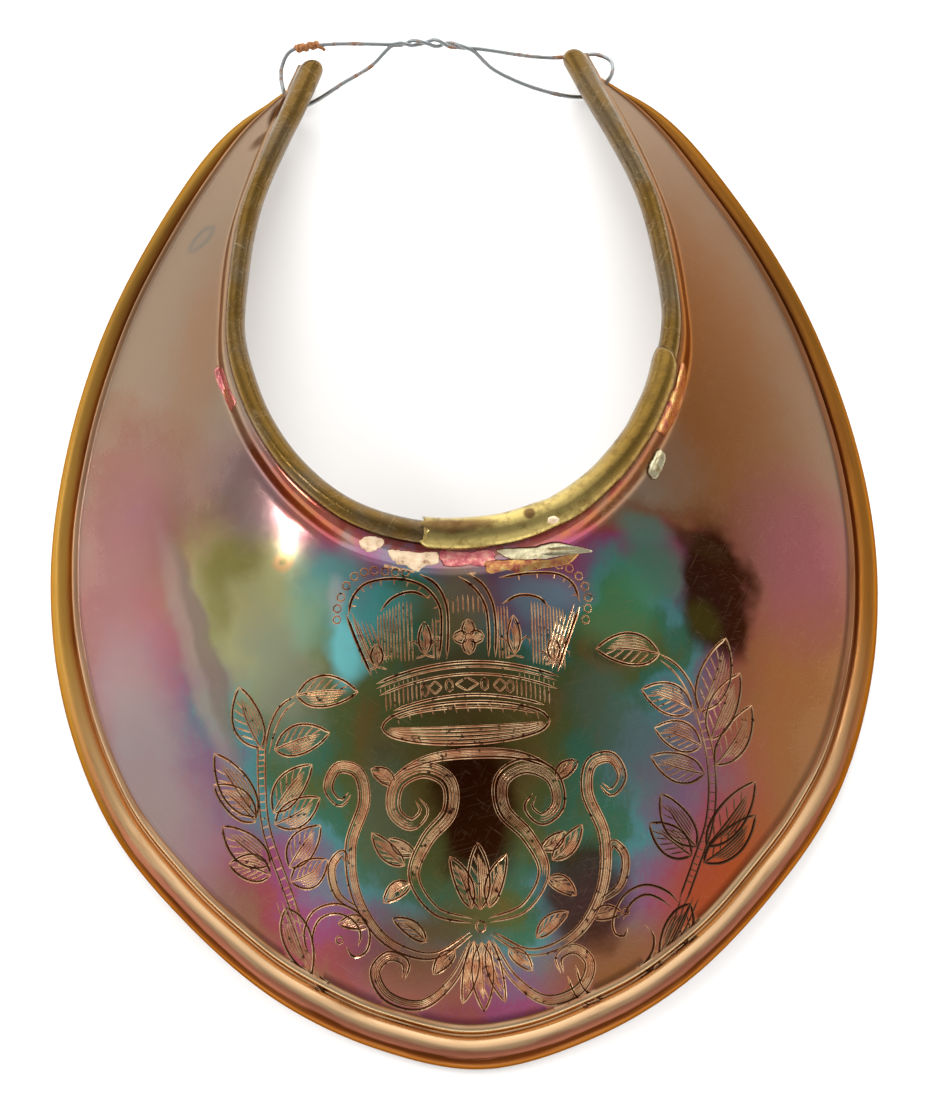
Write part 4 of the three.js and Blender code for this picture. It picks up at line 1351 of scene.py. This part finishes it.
# %% [markdown]
# A stain is a patch with a middle, a size, a soft edge and a strength. Its ragged outline comes
# from outside: the place is first pushed about by a cloudy drift and turned, and stains with the
# same push and turn share that work, which keeps a surface with sixty stains quick to render.

# %% Stain
stain, s, into, out = effect("stain", [
    ("Place", "Vector", None), ("Middle", "Vector", (0, 0, 0)), ("Half Size", "Vector", (5, 5, 5)),
    ("Soft", "Float", 0.3), ("Strength", "Float", 1.0)], [("Mask", "Float")])
shrink = s.vector("DIVIDE", (1, 1, 0), into["Half Size"])
shift = s.vector("MULTIPLY", into["Middle"], s.vector("MULTIPLY", shrink, (-1, -1, 0)))
local = s.add("VectorMath", {0: into["Place"], 1: shrink, 2: shift},
              operation="MULTIPLY_ADD").outputs[0]
near, far = s.math("SUBTRACT", 1.0, into["Soft"]), s.math("ADD", 1.0, into["Soft"])
edge = s.add("MapRange", {"Value": s.vector("LENGTH", local), "From Min": near, "From Max": far,
                          "To Min": into["Strength"], "To Max": 0.0}, interpolation_type="SMOOTHSTEP")
s.tree.links.new(edge.outputs["Result"], out["Mask"])

# %% [markdown]
# Tarnish on gilt copper is a clear film that is thinnest at the horns and thickest in the middle
# of the dome. Light returned from its two faces gives a colour that runs with its thickness:
# straw, orange, magenta, violet, blue, green, olive, and at last brown. The horns of the real
# piece are still pale gold, the middle is nearly black.

# %% Film colour
FILM_COLOURS = [
    (0.00, (0.31, 0.225, 0.16)), (0.08, (0.29, 0.185, 0.12)), (0.15, (0.27, 0.14, 0.085)),
    (0.22, (0.30, 0.12, 0.07)), (0.30, (0.33, 0.075, 0.085)), (0.38, (0.31, 0.075, 0.16)),
    (0.46, (0.24, 0.12, 0.21)), (0.53, (0.17, 0.18, 0.24)), (0.60, (0.10, 0.27, 0.28)),
    (0.67, (0.06, 0.18, 0.11)), (0.75, (0.11, 0.14, 0.045)), (0.83, (0.17, 0.12, 0.035)),
    (0.91, (0.09, 0.035, 0.008)), (1.00, (0.035, 0.006, 0.002)),
]
film_colour, s, into, out = effect("film colour", [("Film", "Float", 0.0)], [("Color", "Color")])
s.tree.links.new(s.ramp(into["Film"], FILM_COLOURS, "EASE"), out["Color"])

# %% [markdown]
# Cloths, belt buckles and fingers leave fine scratches in every direction. Three sets of
# stretched cloudy bands, cut off at their peaks, give lines that start and stop.

# %% Scratches
scratches, s, into, out = effect("scratches", [
    ("Place", "Vector", None), ("Amount", "Float", 0.5)], [("Mask", "Float")])
total = None
for turn, fine, long in ((0.5, 9.0, 0.22), (2.2, 7.0, 0.3), (1.35, 11.0, 0.16)):
    swung = s.add("VectorRotate", {"Vector": into["Place"], "Angle": turn},
                  rotation_type="Z_AXIS").outputs[0]
    band_place = s.vector("MULTIPLY", swung, (fine, long, 1.0))
    lines = s.noise(band_place, 1.0, 1.0)
    lines = s.span(lines, 0.66, 0.72)
    total = lines if total is None else s.math("MAXIMUM", total, lines)
s.tree.links.new(s.math("MULTIPLY", total, into["Amount"], True), out["Mask"])

# %% [markdown]
# Old dirt sits as soft clouds with small dark pits in them. Both come from the same group, so
# the tube and the sleeve age alike.

# %% Grime
grime, s, into, out = effect("grime", [
    ("Place", "Vector", None), ("Size", "Float", 0.3)], [("Clouds", "Float"), ("Pits", "Float")])
clouds = s.noise(into["Place"], into["Size"], 6.0, 0.65)
s.tree.links.new(s.span(clouds, 0.42, 0.72), out["Clouds"])
cells = s.add("TexVoronoi", {"Vector": into["Place"], "Scale": s.math("MULTIPLY", into["Size"], 4.0)})
pits = s.span(cells.outputs["Distance"], 0.05, 0.14, 1.0, 0.0)
sparse = s.span(s.noise(into["Place"], s.math("MULTIPLY", into["Size"], 2.0), 2.0), 0.52, 0.6)
s.tree.links.new(s.math("MULTIPLY", pits, sparse), out["Pits"])

# %% [markdown]
# A row of a chart becomes a mask here: the place is pushed about, turned and handed to the stain
# group. A finish is a new metal, with its own sheet of nodes and the place in millimetres.

# %% From chart rows to masks
def drift_of(sheet, place):
    """A cloudy push in every direction, about half a unit strong."""
    cloud = sheet.add("TexNoise", {"Vector": place, "Scale": 0.2, "Detail": 2.0, "Roughness": 0.5})
    return sheet.vector("SUBTRACT", cloud.outputs["Color"], (0.5, 0.5, 0.5))


def ragged_place(sheet, place, drift, ragged, turn):
    """The place pushed about by the drift and turned; made once for each push and turn."""
    made, key = sheet.ragged_places, (ragged, turn)
    if key not in made:
        feeds = {0: drift, 1: (ragged, ragged, 0), 2: place}
        bent = sheet.add("VectorMath", feeds, operation="MULTIPLY_ADD").outputs[0]
        if turn:
            bent = sheet.add("VectorRotate", {"Vector": bent, "Angle": -turn},
                             rotation_type="Z_AXIS").outputs[0]
        made[key] = bent
    return made[key]


def stained(sheet, place, drift, x, y, half_x, half_y, turn, strength, ragged, soft):
    """The mask of one stain on a material."""
    cos, sin = math.cos(turn), math.sin(turn)
    feeds = {"Place": ragged_place(sheet, place, drift, ragged, turn),
             "Middle": (x * cos + y * sin, y * cos - x * sin, 0),
             "Half Size": (half_x, half_y, 1), "Soft": soft, "Strength": strength}
    return sheet.group(stain, feeds)["Mask"]


def finish(name):
    """A new material: its sheet of nodes, the metal's own node, and the place in millimetres."""
    material = bpy.data.materials.new(name)
    material.use_nodes = True
    sheet = Sheet(material.node_tree)
    metal = sheet.add("BsdfPrincipled", {"Metallic": 1.0})
    output = sheet.add("OutputMaterial")
    material.node_tree.links.new(metal.outputs[0], output.inputs[0])
    spot = sheet.add("TexCoord").outputs["Object"]
    place = sheet.add("VectorMath", {0: spot, "Scale": 1 / MM}, operation="SCALE").outputs[0]
    return material, sheet, metal, place


def feed(sheet, metal, **sockets):
    for title, value in sockets.items():
        sheet.tree.links.new(value, metal.inputs[title.replace("_", " ")])


# %% [markdown]
# On the plate the film's thickness is charted: a broad fall from the middle outwards, a slow
# cloudy drift, and the stains that the photograph shows, each as one row with how much thicker
# or thinner it makes the film.

# %% Chart of thicker and thinner film
FILM_STAINS = [  # middle across, up; half size across, up; turn; change; ragged; soft
    (-25.0, -13.0, 8.0, 13.0, 0.25, 0.20, 6.0, 0.6),
    (-40.5, -14.0, 8.0, 24.0, 0.0, 0.30, 6.0, 0.8),
    (-14.0, -11.0, 4.0, 7.0, 0.0, -0.05, 4.0, 0.6),
    (7.0, -12.0, 5.0, 4.0, 0.25, -0.14, 4.0, 0.6),
    (-7.0, -11.0, 4.0, 3.5, 0.0, 0.10, 4.0, 0.5),
    (24.0, -11.0, 9.0, 9.5, -0.25, 0.30, 6.0, 0.45),
    (17.0, -22.0, 6.0, 7.0, 0.0, 0.10, 6.0, 0.6),
    (20.0, -0.5, 6.5, 3.0, 0.25, -0.10, 2.0, 0.6),
    (41.5, -8.0, 8.0, 14.0, 0.0, 0.24, 4.0, 0.8),
    (29.5, -27.0, 7.0, 11.0, 0.25, 0.12, 6.0, 0.7),
    (-24.0, -43.0, 7.0, 8.0, 0.75, -0.08, 4.0, 0.7),
    (-38.0, 9.0, 8.0, 8.0, -0.25, 0.18, 6.0, 0.9),
    (-25.0, 4.0, 5.0, 6.0, 0.0, 0.26, 4.0, 0.7),
    (0.0, -50.0, 9.0, 5.0, 0.0, 0.14, 4.0, 0.6),
]

# %% [markdown]
# Some marks are not film but old dirt, grease and bared metal, with colours of their own: the
# dark blots, the olive cloud, the pale streak left of it, the ring round the small pit, and the
# dark marks at the left wire hole. The two near-black blots, right of the crown and below it, are
# partly dark tarnish and partly a painted reflection of the dim room, and two patches at the
# crown's left arch, one pale and one bright cyan, are painted highlights. Each is one row, read off
# the photograph.

# %% Chart of coloured marks
PATINA_AND_PAINTED_LIGHT = [  # middle across, up; half size across, up; turn; colour; cover; ragged; soft
    (31.0, 16.0, 9.0, 24.0, 0.25, (0.30, 0.10, 0.02), 0.9, 4.0, 0.8),
    (39.0, 12.0, 7.0, 22.0, 0.25, (0.30, 0.16, 0.085), 0.4, 4.0, 0.8),
    (40.0, -22.0, 9.0, 17.0, -0.25, (0.36, 0.14, 0.04), 0.75, 4.0, 0.7),
    (41.0, -5.0, 7.0, 9.0, 0.0, (0.34, 0.10, 0.13), 0.75, 4.0, 0.7),
    (29.0, -44.0, 9.0, 5.5, 1.0, (0.42, 0.075, 0.015), 0.85, 4.0, 0.7),
    (16.0, -53.0, 8.0, 4.0, 0.25, (0.28, 0.125, 0.025), 0.8, 4.0, 0.6),
    (-7.0, -54.5, 8.0, 3.4, 0.0, (0.38, 0.14, 0.05), 0.7, 4.0, 0.6),
    (-41.0, -13.0, 5.5, 10.0, 0.0, (0.58, 0.28, 0.26), 0.6, 4.0, 0.8),
    (-34.5, -37.0, 5.0, 7.0, 0.5, (0.42, 0.25, 0.27), 0.65, 4.0, 0.8),
    (-39.0, 6.0, 8.0, 9.0, 0.0, (0.36, 0.20, 0.18), 0.7, 4.0, 0.8),
    (-43.0, -5.0, 5.0, 9.0, 0.0, (0.42, 0.20, 0.20), 0.65, 4.0, 0.7),
    (-40.0, -26.0, 5.5, 13.0, 0.25, (0.42, 0.36, 0.34), 0.75, 4.0, 0.7),
    (-26.0, -10.0, 8.0, 11.0, 0.25, (0.48, 0.47, 0.20), 0.85, 6.0, 0.5),
    (-27.0, -4.0, 3.6, 3.2, 0.25, (0.22, 0.19, 0.03), 0.7, 4.0, 0.6),
    (-30.0, -8.5, 1.6, 5.0, 0.0, (0.24, 0.21, 0.05), 0.6, 4.0, 0.6),
    (-22.5, -18.5, 4.2, 7.5, 0.25, (0.29, 0.32, 0.23), 0.75, 6.0, 0.6),
    (-32.6, -14.5, 1.9, 15.0, 0.25, (0.42, 0.29, 0.26), 0.6, 2.0, 0.35),
    (-31.4, -14.5, 1.1, 13.0, 0.25, (0.22, 0.165, 0.13), 0.6, 2.0, 0.4),
    # painted highlight: a bright cyan patch that stands for a cyan reflection
    (-14.2, -16.5, 2.2, 4.5, 0.0, (0.24, 0.76, 0.80), 0.85, 4.0, 0.5),
    (-10.5, -11.5, 5.0, 2.6, 0.0, (0.09, 0.40, 0.38), 0.75, 4.0, 0.5),
    (9.0, -11.5, 4.5, 2.6, 0.0, (0.20, 0.36, 0.44), 0.75, 4.0, 0.5),
    (-15.5, -7.0, 3.0, 3.0, 0.0, (0.10, 0.42, 0.38), 0.7, 4.0, 0.5),
    (22.0, -8.0, 4.5, 3.5, -0.25, (0.08, 0.28, 0.15), 0.7, 4.0, 0.5),
    (18.5, -13.0, 4.5, 4.5, 0.0, (0.10, 0.32, 0.14), 0.65, 4.0, 0.5),
    (20.5, -29.5, 4.0, 5.5, 0.25, (0.15, 0.17, 0.18), 0.65, 4.0, 0.6),
    (-0.5, -12.0, 3.4, 5.2, 0.0, (0.32, 0.20, 0.08), 0.7, 2.0, 0.6),
    # partly painted reflection: a near-black blot, dark tarnish and a painted reflection of the dim
    # room
    (30.4, -10.4, 4.2, 7.8, 0.0, (0.042, 0.010, 0.001), 0.96, 6.0, 0.3),
    (28.6, -13.6, 1.8, 2.6, 0.5, (0.10, 0.085, 0.012), 0.6, 2.0, 0.5),
    (28.4, -4.6, 3.6, 1.4, -0.5, (0.07, 0.03, 0.01), 0.75, 2.0, 0.4),
    (21.6, -3.0, 3.2, 1.8, -0.25, (0.13, 0.30, 0.22), 0.75, 2.0, 0.5),
    (-25.5, 4.5, 4.5, 6.5, 0.25, (0.24, 0.165, 0.165), 0.8, 4.0, 0.6),
    (-18.7, -11.5, 2.8, 4.5, 0.0, (0.24, 0.50, 0.38), 0.55, 4.0, 0.6),
    # painted highlight: a pale sheen at the crown's left arch
    (-15.4, -10.6, 1.0, 2.6, 0.0, (0.62, 0.60, 0.60), 0.45, 2.0, 0.6),
    (15.5, -23.5, 4.0, 4.5, 0.0, (0.12, 0.20, 0.15), 0.6, 4.0, 0.5),
    (-0.5, -31.0, 9.0, 13.0, 0.0, (0.12, 0.10, 0.025), 0.6, 6.0, 0.5),
    # partly painted reflection: a near-black blot, dark tarnish and a painted reflection of the dim
    # room
    (0.5, -35.0, 4.8, 8.2, 0.0, (0.034, 0.005, 0.001), 0.96, 4.0, 0.35),
    (-1.5, -21.5, 6.5, 4.0, 0.0, (0.13, 0.08, 0.028), 0.75, 4.0, 0.5),
    (12.6, -45.8, 5.4, 6.0, 0.5, (0.05, 0.018, 0.006), 0.9, 4.0, 0.35),
    (-10.5, -36.0, 3.0, 8.5, 0.0, (0.12, 0.16, 0.09), 0.7, 4.0, 0.5),
    (-7.0, -50.5, 8.0, 4.0, 0.0, (0.18, 0.075, 0.03), 0.7, 4.0, 0.6),
    (-21.5, -5.4, 1.3, 1.2, 0.0, (0.60, 0.36, 0.16), 0.85, 1.0, 0.3),
    (-21.5, -5.4, 0.45, 0.4, 0.0, (0.26, 0.24, 0.10), 0.7, 1.0, 0.4),
    (-30.8, 38.6, 1.0, 2.2, -0.75, (0.17, 0.17, 0.15), 0.6, 1.0, 0.3),
    (-30.8, 38.6, 0.45, 1.5, -0.75, (0.31, 0.23, 0.17), 0.8, 1.0, 0.4),
    (-21.0, 55.8, 1.1, 2.2, -0.5, (0.03, 0.01, 0.005), 0.9, 1.0, 0.35),
    (-23.2, 52.2, 0.6, 1.8, -0.75, (0.08, 0.035, 0.018), 0.75, 1.0, 0.5),
    (-30.5, 24.0, 3.0, 12.0, -0.25, (0.33, 0.18, 0.10), 0.6, 4.0, 0.8),
]

# %% [markdown]
# The field's colour starts as the film alone, and the coloured marks, painted highlights and
# reflections among them, are laid over it in order.

# %% Gilt plate: film and marks
gilt, s, metal, place = finish("gilt_plate_tarnished")
drift = s.add("TexNoise", {"Vector": place, "Scale": 0.045, "Detail": 1.0, "Roughness": 0.5})
warp = s.vector("SUBTRACT", drift.outputs["Color"], (0.5, 0.5, 0.5))
warp = s.add("VectorMath", {0: warp, "Scale": 14.0}, operation="SCALE").outputs[0]
warped = s.vector("ADD", place, warp)
brushed = s.noise(s.vector("MULTIPLY", place, (1.6, 0.5, 1.0)), 1.1, 2.0, 0.7)
oval = s.vector("MULTIPLY", s.vector("SUBTRACT", warped, (-1, -30, 0)), (1 / 28, 1 / 26, 0))
film = s.span(s.vector("LENGTH", oval), 0.0, 2.1, 0.9, -0.1)
film = s.math("ADD", film, s.span(s.noise(place, 0.1, 2.0), 0.25, 0.75, -0.08, 0.08))
film = s.math("ADD", film, s.span(brushed, 0.3, 0.7, -0.014, 0.014))
drift = drift_of(s, place)
for row in FILM_STAINS:
    film = s.math("ADD", film, stained(s, place, drift, *row))
film = s.math("ADD", film, 0.0, True)
colour = s.group(film_colour, {"Film": film})["Color"]
for x, y, half_x, half_y, turn, tint, cover, ragged, soft in PATINA_AND_PAINTED_LIGHT:
    patch = stained(s, place, drift, x, y, half_x, half_y, turn, cover, ragged, soft)
    colour = s.mix(patch, colour, tint)
marks = s.group(scratches, {"Place": place, "Amount": 0.4})["Mask"]
colour = s.mix(s.math("MULTIPLY", marks, 0.3), colour, (0.5, 0.33, 0.22))

# %% [markdown]
# The border was handled most. Its sides are satin gold, browner to the right and darker towards
# the horns, with a painted highlight on the raised line and painted shade in the groove beside it.
# Along the bottom the colours lie in bands: a brown edge, a dark line that is a painted reflection,
# pink copper, then the crest painted pale as a highlight, the groove painted darker as shade, and
# the raised line painted pale as a highlight.

# %% Gilt plate: border
from_rim, from_neck = s.attribute("from_rim"), s.attribute("from_neck")
rise, along = s.attribute("height"), s.attribute("along")
spot = s.add("SeparateXYZ", {0: place}).outputs
up_place, across_place = spot["Y"], spot["X"]
low_down = s.span(up_place, -8.0, -44.0)
lengthwise = s.add("CombineXYZ", {0: s.math("MULTIPLY", along, 1.1), 1: from_rim}).outputs[0]
streak = s.noise(lengthwise, 1.1, 3.0, 0.6)
border_place = s.math("ADD", from_rim, s.span(streak, 0.3, 0.7, -0.14, 0.14))
border_share = s.math("DIVIDE", border_place, 5.2)
# painted light: the pale raised line is a painted highlight, the dark groove beside it is painted shade
SIDE_BAND_WITH_PAINTED_LIGHT = [  # share of the border from the rim inwards, colour
    (0.0, (0.15, 0.065, 0.012)), (0.115, (0.28, 0.13, 0.02)), (0.27, (0.47, 0.235, 0.04)),
    (0.46, (0.62, 0.34, 0.07)), (0.615, (0.62, 0.33, 0.07)), (0.69, (0.50, 0.23, 0.06)),
    (0.727, (0.28, 0.10, 0.025)), (0.765, (0.50, 0.25, 0.10)), (0.865, (0.74, 0.46, 0.27)),
    (0.97, (0.46, 0.25, 0.15)),
]
# painted light: a painted dark reflection at 0.24 to 0.34, painted highlights on the pale crest and
# raised line, painted shade in the groove
BOTTOM_BAND_WITH_PAINTED_LIGHT = [
    (0.0, (0.20, 0.075, 0.018)), (0.17, (0.32, 0.12, 0.032)), (0.24, (0.13, 0.033, 0.007)),
    (0.34, (0.12, 0.03, 0.006)), (0.39, (0.56, 0.19, 0.11)), (0.48, (0.68, 0.26, 0.15)),
    (0.53, (0.96, 0.62, 0.34)), (0.71, (0.96, 0.62, 0.34)), (0.742, (0.40, 0.14, 0.045)),
    (0.78, (0.75, 0.42, 0.18)), (0.865, (0.98, 0.72, 0.42)), (0.97, (0.48, 0.19, 0.08)),
]

browner = s.mix(s.span(across_place, -20.0, 40.0), (1.0, 1.0, 1.0), (0.74, 0.55, 0.45))
side_band_with_painted_light = s.mix(1.0, s.ramp(border_share, SIDE_BAND_WITH_PAINTED_LIGHT), browner, "MULTIPLY")
# darker towards the horns
side_band_with_painted_light = s.mix(s.span(up_place, 5.0, 32.0, 0.0, 0.4), side_band_with_painted_light, (0.15, 0.065, 0.008))
border_colour_with_painted_light = s.mix(low_down, side_band_with_painted_light, s.ramp(border_share, BOTTOM_BAND_WITH_PAINTED_LIGHT))
border_colour_with_painted_light = s.mix(s.span(streak, 0.5, 0.8, 0.0, 0.45), border_colour_with_painted_light, (0.24, 0.095, 0.024))
raised = s.math("MULTIPLY", s.span(from_rim, 5.2, 5.0), s.span(rise, -0.3, -0.15))
border = s.math("MAXIMUM", s.span(from_rim, 3.75, 3.55), raised)
colour = s.mix(border, colour, border_colour_with_painted_light)

# %% [markdown]
# Beside the tube the gilding is broken and copper shows through, and closest to the tube the colour
# turns a dark rose in broken patches. The back was never tarnished as brightly and is plain coppery
# brown. The horns are satin, the dome is glossy.

# %% Gilt plate: neck, back and gloss
broken = s.span(s.noise(place, 0.45, 2.0, 0.65), 0.38, 0.6, 0.25, 1.0)
neck_low = s.math("MULTIPLY", s.span(up_place, 14.0, -2.0), broken)
near_neck = s.math("MULTIPLY", s.span(from_neck, 4.2, 2.6), neck_low)
colour = s.mix(s.math("MULTIPLY", near_neck, 0.6), colour, (0.42, 0.16, 0.045))
# a dark rose band closest to the tube, on the lower part, in broken patches
rosy = s.math("MULTIPLY", s.span(from_neck, 3.0, 2.4), neck_low)
colour = s.mix(s.math("MULTIPLY", rosy, 0.85), colour, (0.26, 0.045, 0.045))
back = s.span(rise, -0.35, -0.6)
colour = s.mix(s.math("MULTIPLY", back, s.span(from_rim, 3.4, 4.4)), colour, (0.30, 0.165, 0.06))
satin = s.math("MAXIMUM", s.span(up_place, 2.0, 26.0), s.span(film, 0.3, 0.05, 0.0, 0.7))
rough = s.span(satin, 0.0, 1.0, 0.13, 0.38)
rough = s.math("ADD", rough, s.math("MULTIPLY", marks, 0.12))
border_rough = s.span(low_down, 0.0, 1.0, 0.42, 0.17)
border_rough = s.math("ADD", border_rough, s.span(streak, 0.3, 0.7, 0.0, 0.12))
rough = s.mix(border, rough, border_rough)
metal.inputs["Specular Tint"].default_value = (0.6, 0.4, 0.25, 1)
feed(s, metal, Base_Color=colour, Roughness=rough)

# %% [markdown]
# A graver bares clean metal, and the tarnish has come back only thinly: the cuts are a dusty
# rose gold, with dark dirt in places and painted shade towards the bottom of each cut. Hard little
# walls catch the light one by one.

# %% Inside of the cuts
bare, s, metal, place = finish("graver_cut")
cloud = s.noise(place, 0.5, 4.0, 0.6)
colour = s.mix(s.span(cloud, 0.35, 0.65), (0.82, 0.55, 0.32), (0.58, 0.27, 0.14))
# painted shade: the cut's colour darkens where it is deepest
colour = s.mix(s.span(s.attribute("depth"), 0.045, 0.10), colour, (0.10, 0.035, 0.015))
right_low = stained(s, place, drift_of(s, place), 28.0, -42.0, 9.0, 13.0, 0.25, 0.8, 4.0, 0.5)
dark = s.math("MAXIMUM", right_low, s.span(s.noise(place, 1.3, 3.0), 0.58, 0.7))
colour = s.mix(dark, colour, (0.06, 0.02, 0.01))
feed(s, metal, Base_Color=colour, Roughness=s.span(cloud, 0.3, 0.7, 0.2, 0.4))

# %% [markdown]
# The neck tube is plain brass that has gone olive brown, paler in patches where hands rubbed it.

# %% Olive brass of the tube
olive, s, metal, place = finish("neck_brass_olive")
dirt = s.group(grime, {"Place": place, "Size": 0.2})
colour = s.mix(s.math("MULTIPLY", dirt["Clouds"], 0.6), (0.165, 0.092, 0.020), (0.095, 0.052, 0.012))
rubbed = s.span(s.noise(place, 0.08, 3.0), 0.42, 0.62, 0.0, 0.7)
colour = s.mix(rubbed, colour, (0.15, 0.115, 0.075))
colour = s.mix(s.math("MULTIPLY", dirt["Pits"], 0.8), colour, (0.05, 0.03, 0.015))
marks = s.group(scratches, {"Place": place, "Amount": 0.6})["Mask"]
colour = s.mix(s.math("MULTIPLY", marks, 0.4), colour, (0.6, 0.45, 0.25))
bump = s.add("Bump", {"Height": s.math("ADD", dirt["Clouds"], s.math("MULTIPLY", marks, 0.5)),
                      "Strength": 0.25, "Distance": 0.00006})
feed(s, metal, Base_Color=colour, Roughness=s.span(dirt["Clouds"], 0.0, 1.0, 0.24, 0.42),
     Normal=bump.outputs[0])

# %% [markdown]
# The sleeve is younger and yellower, hammered on and never gilt. It is painted paler on the left,
# partly its own yellow and partly a painted highlight, and darker to the right.

# %% Yellow brass of the sleeve
yellow, s, metal, place = finish("sleeve_brass_yellow")
dirt = s.group(grime, {"Place": place, "Size": 0.6})
# partly painted highlight: paler on the left, darker to the right
sleeve_brass_and_highlight = s.mix(s.span(s.add("SeparateXYZ", {0: place}).outputs["X"], 8.0, 22.0),
                  (0.58, 0.45, 0.155), (0.235, 0.14, 0.03))
colour = s.mix(s.math("MULTIPLY", dirt["Clouds"], 0.8), sleeve_brass_and_highlight, (0.18, 0.105, 0.028))
drift = drift_of(s, place)
dark_patch = stained(s, place, drift, -1.0, -3.4, 5.0, 0.9, 0.0, 0.85, 1.0, 0.4)
dark_spot = stained(s, place, drift, 8.2, -2.2, 0.7, 0.6, 0.0, 0.85, 1.0, 0.3)
colour = s.mix(s.math("MAXIMUM", dark_patch, dark_spot), colour, (0.11, 0.05, 0.02))
colour = s.mix(dirt["Pits"], colour, (0.06, 0.035, 0.015))
bump = s.add("Bump", {"Height": dirt["Clouds"], "Strength": 0.35, "Distance": 0.00008})
feed(s, metal, Base_Color=colour, Roughness=s.span(dirt["Clouds"], 0.0, 1.0, 0.2, 0.42),
     Normal=bump.outputs[0])

# %% [markdown]
# The wire is drawn steel: grey blue where it is rubbed, brown where rust has begun.

# %% Steel wire
steel, s, metal, place = finish("wire_steel_dull")
rust = s.span(s.noise(place, 0.5, 5.0, 0.7), 0.5, 0.66)
colour = s.mix(rust, (0.40, 0.43, 0.44), (0.20, 0.09, 0.04))
feed(s, metal, Base_Color=colour, Roughness=s.span(rust, 0.0, 1.0, 0.34, 0.8),
     Metallic=s.span(rust, 0.0, 1.0, 1.0, 0.25))

# %% [markdown]
# The knot has rusted right through to orange brown. Solder is dull tin gone cream, and the torn
# skin is the plate's own gilding, seen from its coppery edge.

# %% Rust, solder and torn skin
rusty, s, metal, place = finish("knot_rust")
cloud = s.noise(place, 2.2, 6.0, 0.7)
colour = s.ramp(cloud, [(0.3, (0.10, 0.035, 0.012)), (0.5, (0.26, 0.10, 0.03)),
                        (0.7, (0.40, 0.19, 0.07))])
bump = s.add("Bump", {"Height": cloud, "Strength": 0.6, "Distance": 0.0001})
feed(s, metal, Base_Color=colour, Roughness=s.span(cloud, 0.3, 0.7, 0.75, 0.5), Normal=bump.outputs[0])
metal.inputs["Metallic"].default_value = 0.15

tin, s, metal, place = finish("solder_cream")
cloud = s.noise(place, 0.9, 5.0, 0.65)
colour = s.ramp(cloud, [(0.28, (0.30, 0.13, 0.07)), (0.45, (0.72, 0.52, 0.34)),
                        (0.7, (0.84, 0.68, 0.48))])
bump = s.add("Bump", {"Height": cloud, "Strength": 0.5, "Distance": 0.00012})
feed(s, metal, Base_Color=colour, Roughness=s.span(cloud, 0.3, 0.7, 0.5, 0.28), Normal=bump.outputs[0])
metal.inputs["Metallic"].default_value = 0.6

skin, s, metal, place = finish("torn_gilt_skin")
cloud = s.noise(place, 0.7, 6.0, 0.7)
colour = s.ramp(cloud, [(0.3, (0.30, 0.06, 0.05)), (0.42, (0.52, 0.17, 0.10)),
                        (0.55, (0.75, 0.42, 0.13)), (0.72, (0.70, 0.60, 0.36))])
bump = s.add("Bump", {"Height": cloud, "Strength": 0.5, "Distance": 0.0001})
feed(s, metal, Base_Color=colour, Roughness=s.span(cloud, 0.3, 0.7, 0.42, 0.2), Normal=bump.outputs[0])

rosy_skin, s, metal, place = finish("torn_rose_skin")
cloud = s.noise(place, 0.9, 5.0, 0.65)
colour = s.ramp(cloud, [(0.3, (0.36, 0.06, 0.07)), (0.5, (0.55, 0.16, 0.17)),
                        (0.7, (0.75, 0.38, 0.28))])
feed(s, metal, Base_Color=colour, Roughness=s.span(cloud, 0.3, 0.7, 0.35, 0.18))

pale_skin, s, metal, place = finish("torn_pale_skin")
cloud = s.noise(place, 0.8, 5.0, 0.65)
colour = s.ramp(cloud, [(0.3, (0.36, 0.26, 0.12)), (0.5, (0.62, 0.56, 0.36)),
                        (0.7, (0.78, 0.70, 0.46))])
feed(s, metal, Base_Color=colour, Roughness=s.span(cloud, 0.3, 0.7, 0.4, 0.22))

# %% [markdown]
# Each piece gets its own metal. The engraved sheet gets two: the tarnished face, and the bared
# metal on the walls of the cuts.

# %% Dress the pieces
for mesh in solder_meshes + [blob_mesh]:
    mesh.materials.append(tin)
for mesh in torn_meshes:
    mesh.materials.append({"skin_rose_band": rosy_skin, "skin_pale_flap": pale_skin,
                           "skin_oval_flap": pale_skin,
                           "skin_left_strip": rosy_skin}.get(mesh.name, skin))
for mesh in (knot_mesh, *lobe_meshes):
    mesh.materials.append(rusty)
cut_mesh.materials.clear()
for material in (gilt, bare):
    cut_mesh.materials.append(material)
tube_mesh.materials.append(olive)
sleeve_mesh.materials.append(yellow)
wire_mesh.materials.append(steel)
cut_mesh.polygons.foreach_set("material_index", walls.astype(int))

# %% [markdown]
# The finished sheet takes the place of the plain one.

# %% Hand over to the renderer
for made in (cut_mesh, tube_mesh, sleeve_mesh, wire_mesh):
    print(made.name, triangles(made), "triangles")
piece("gilt_plate", cut_mesh, "plate")
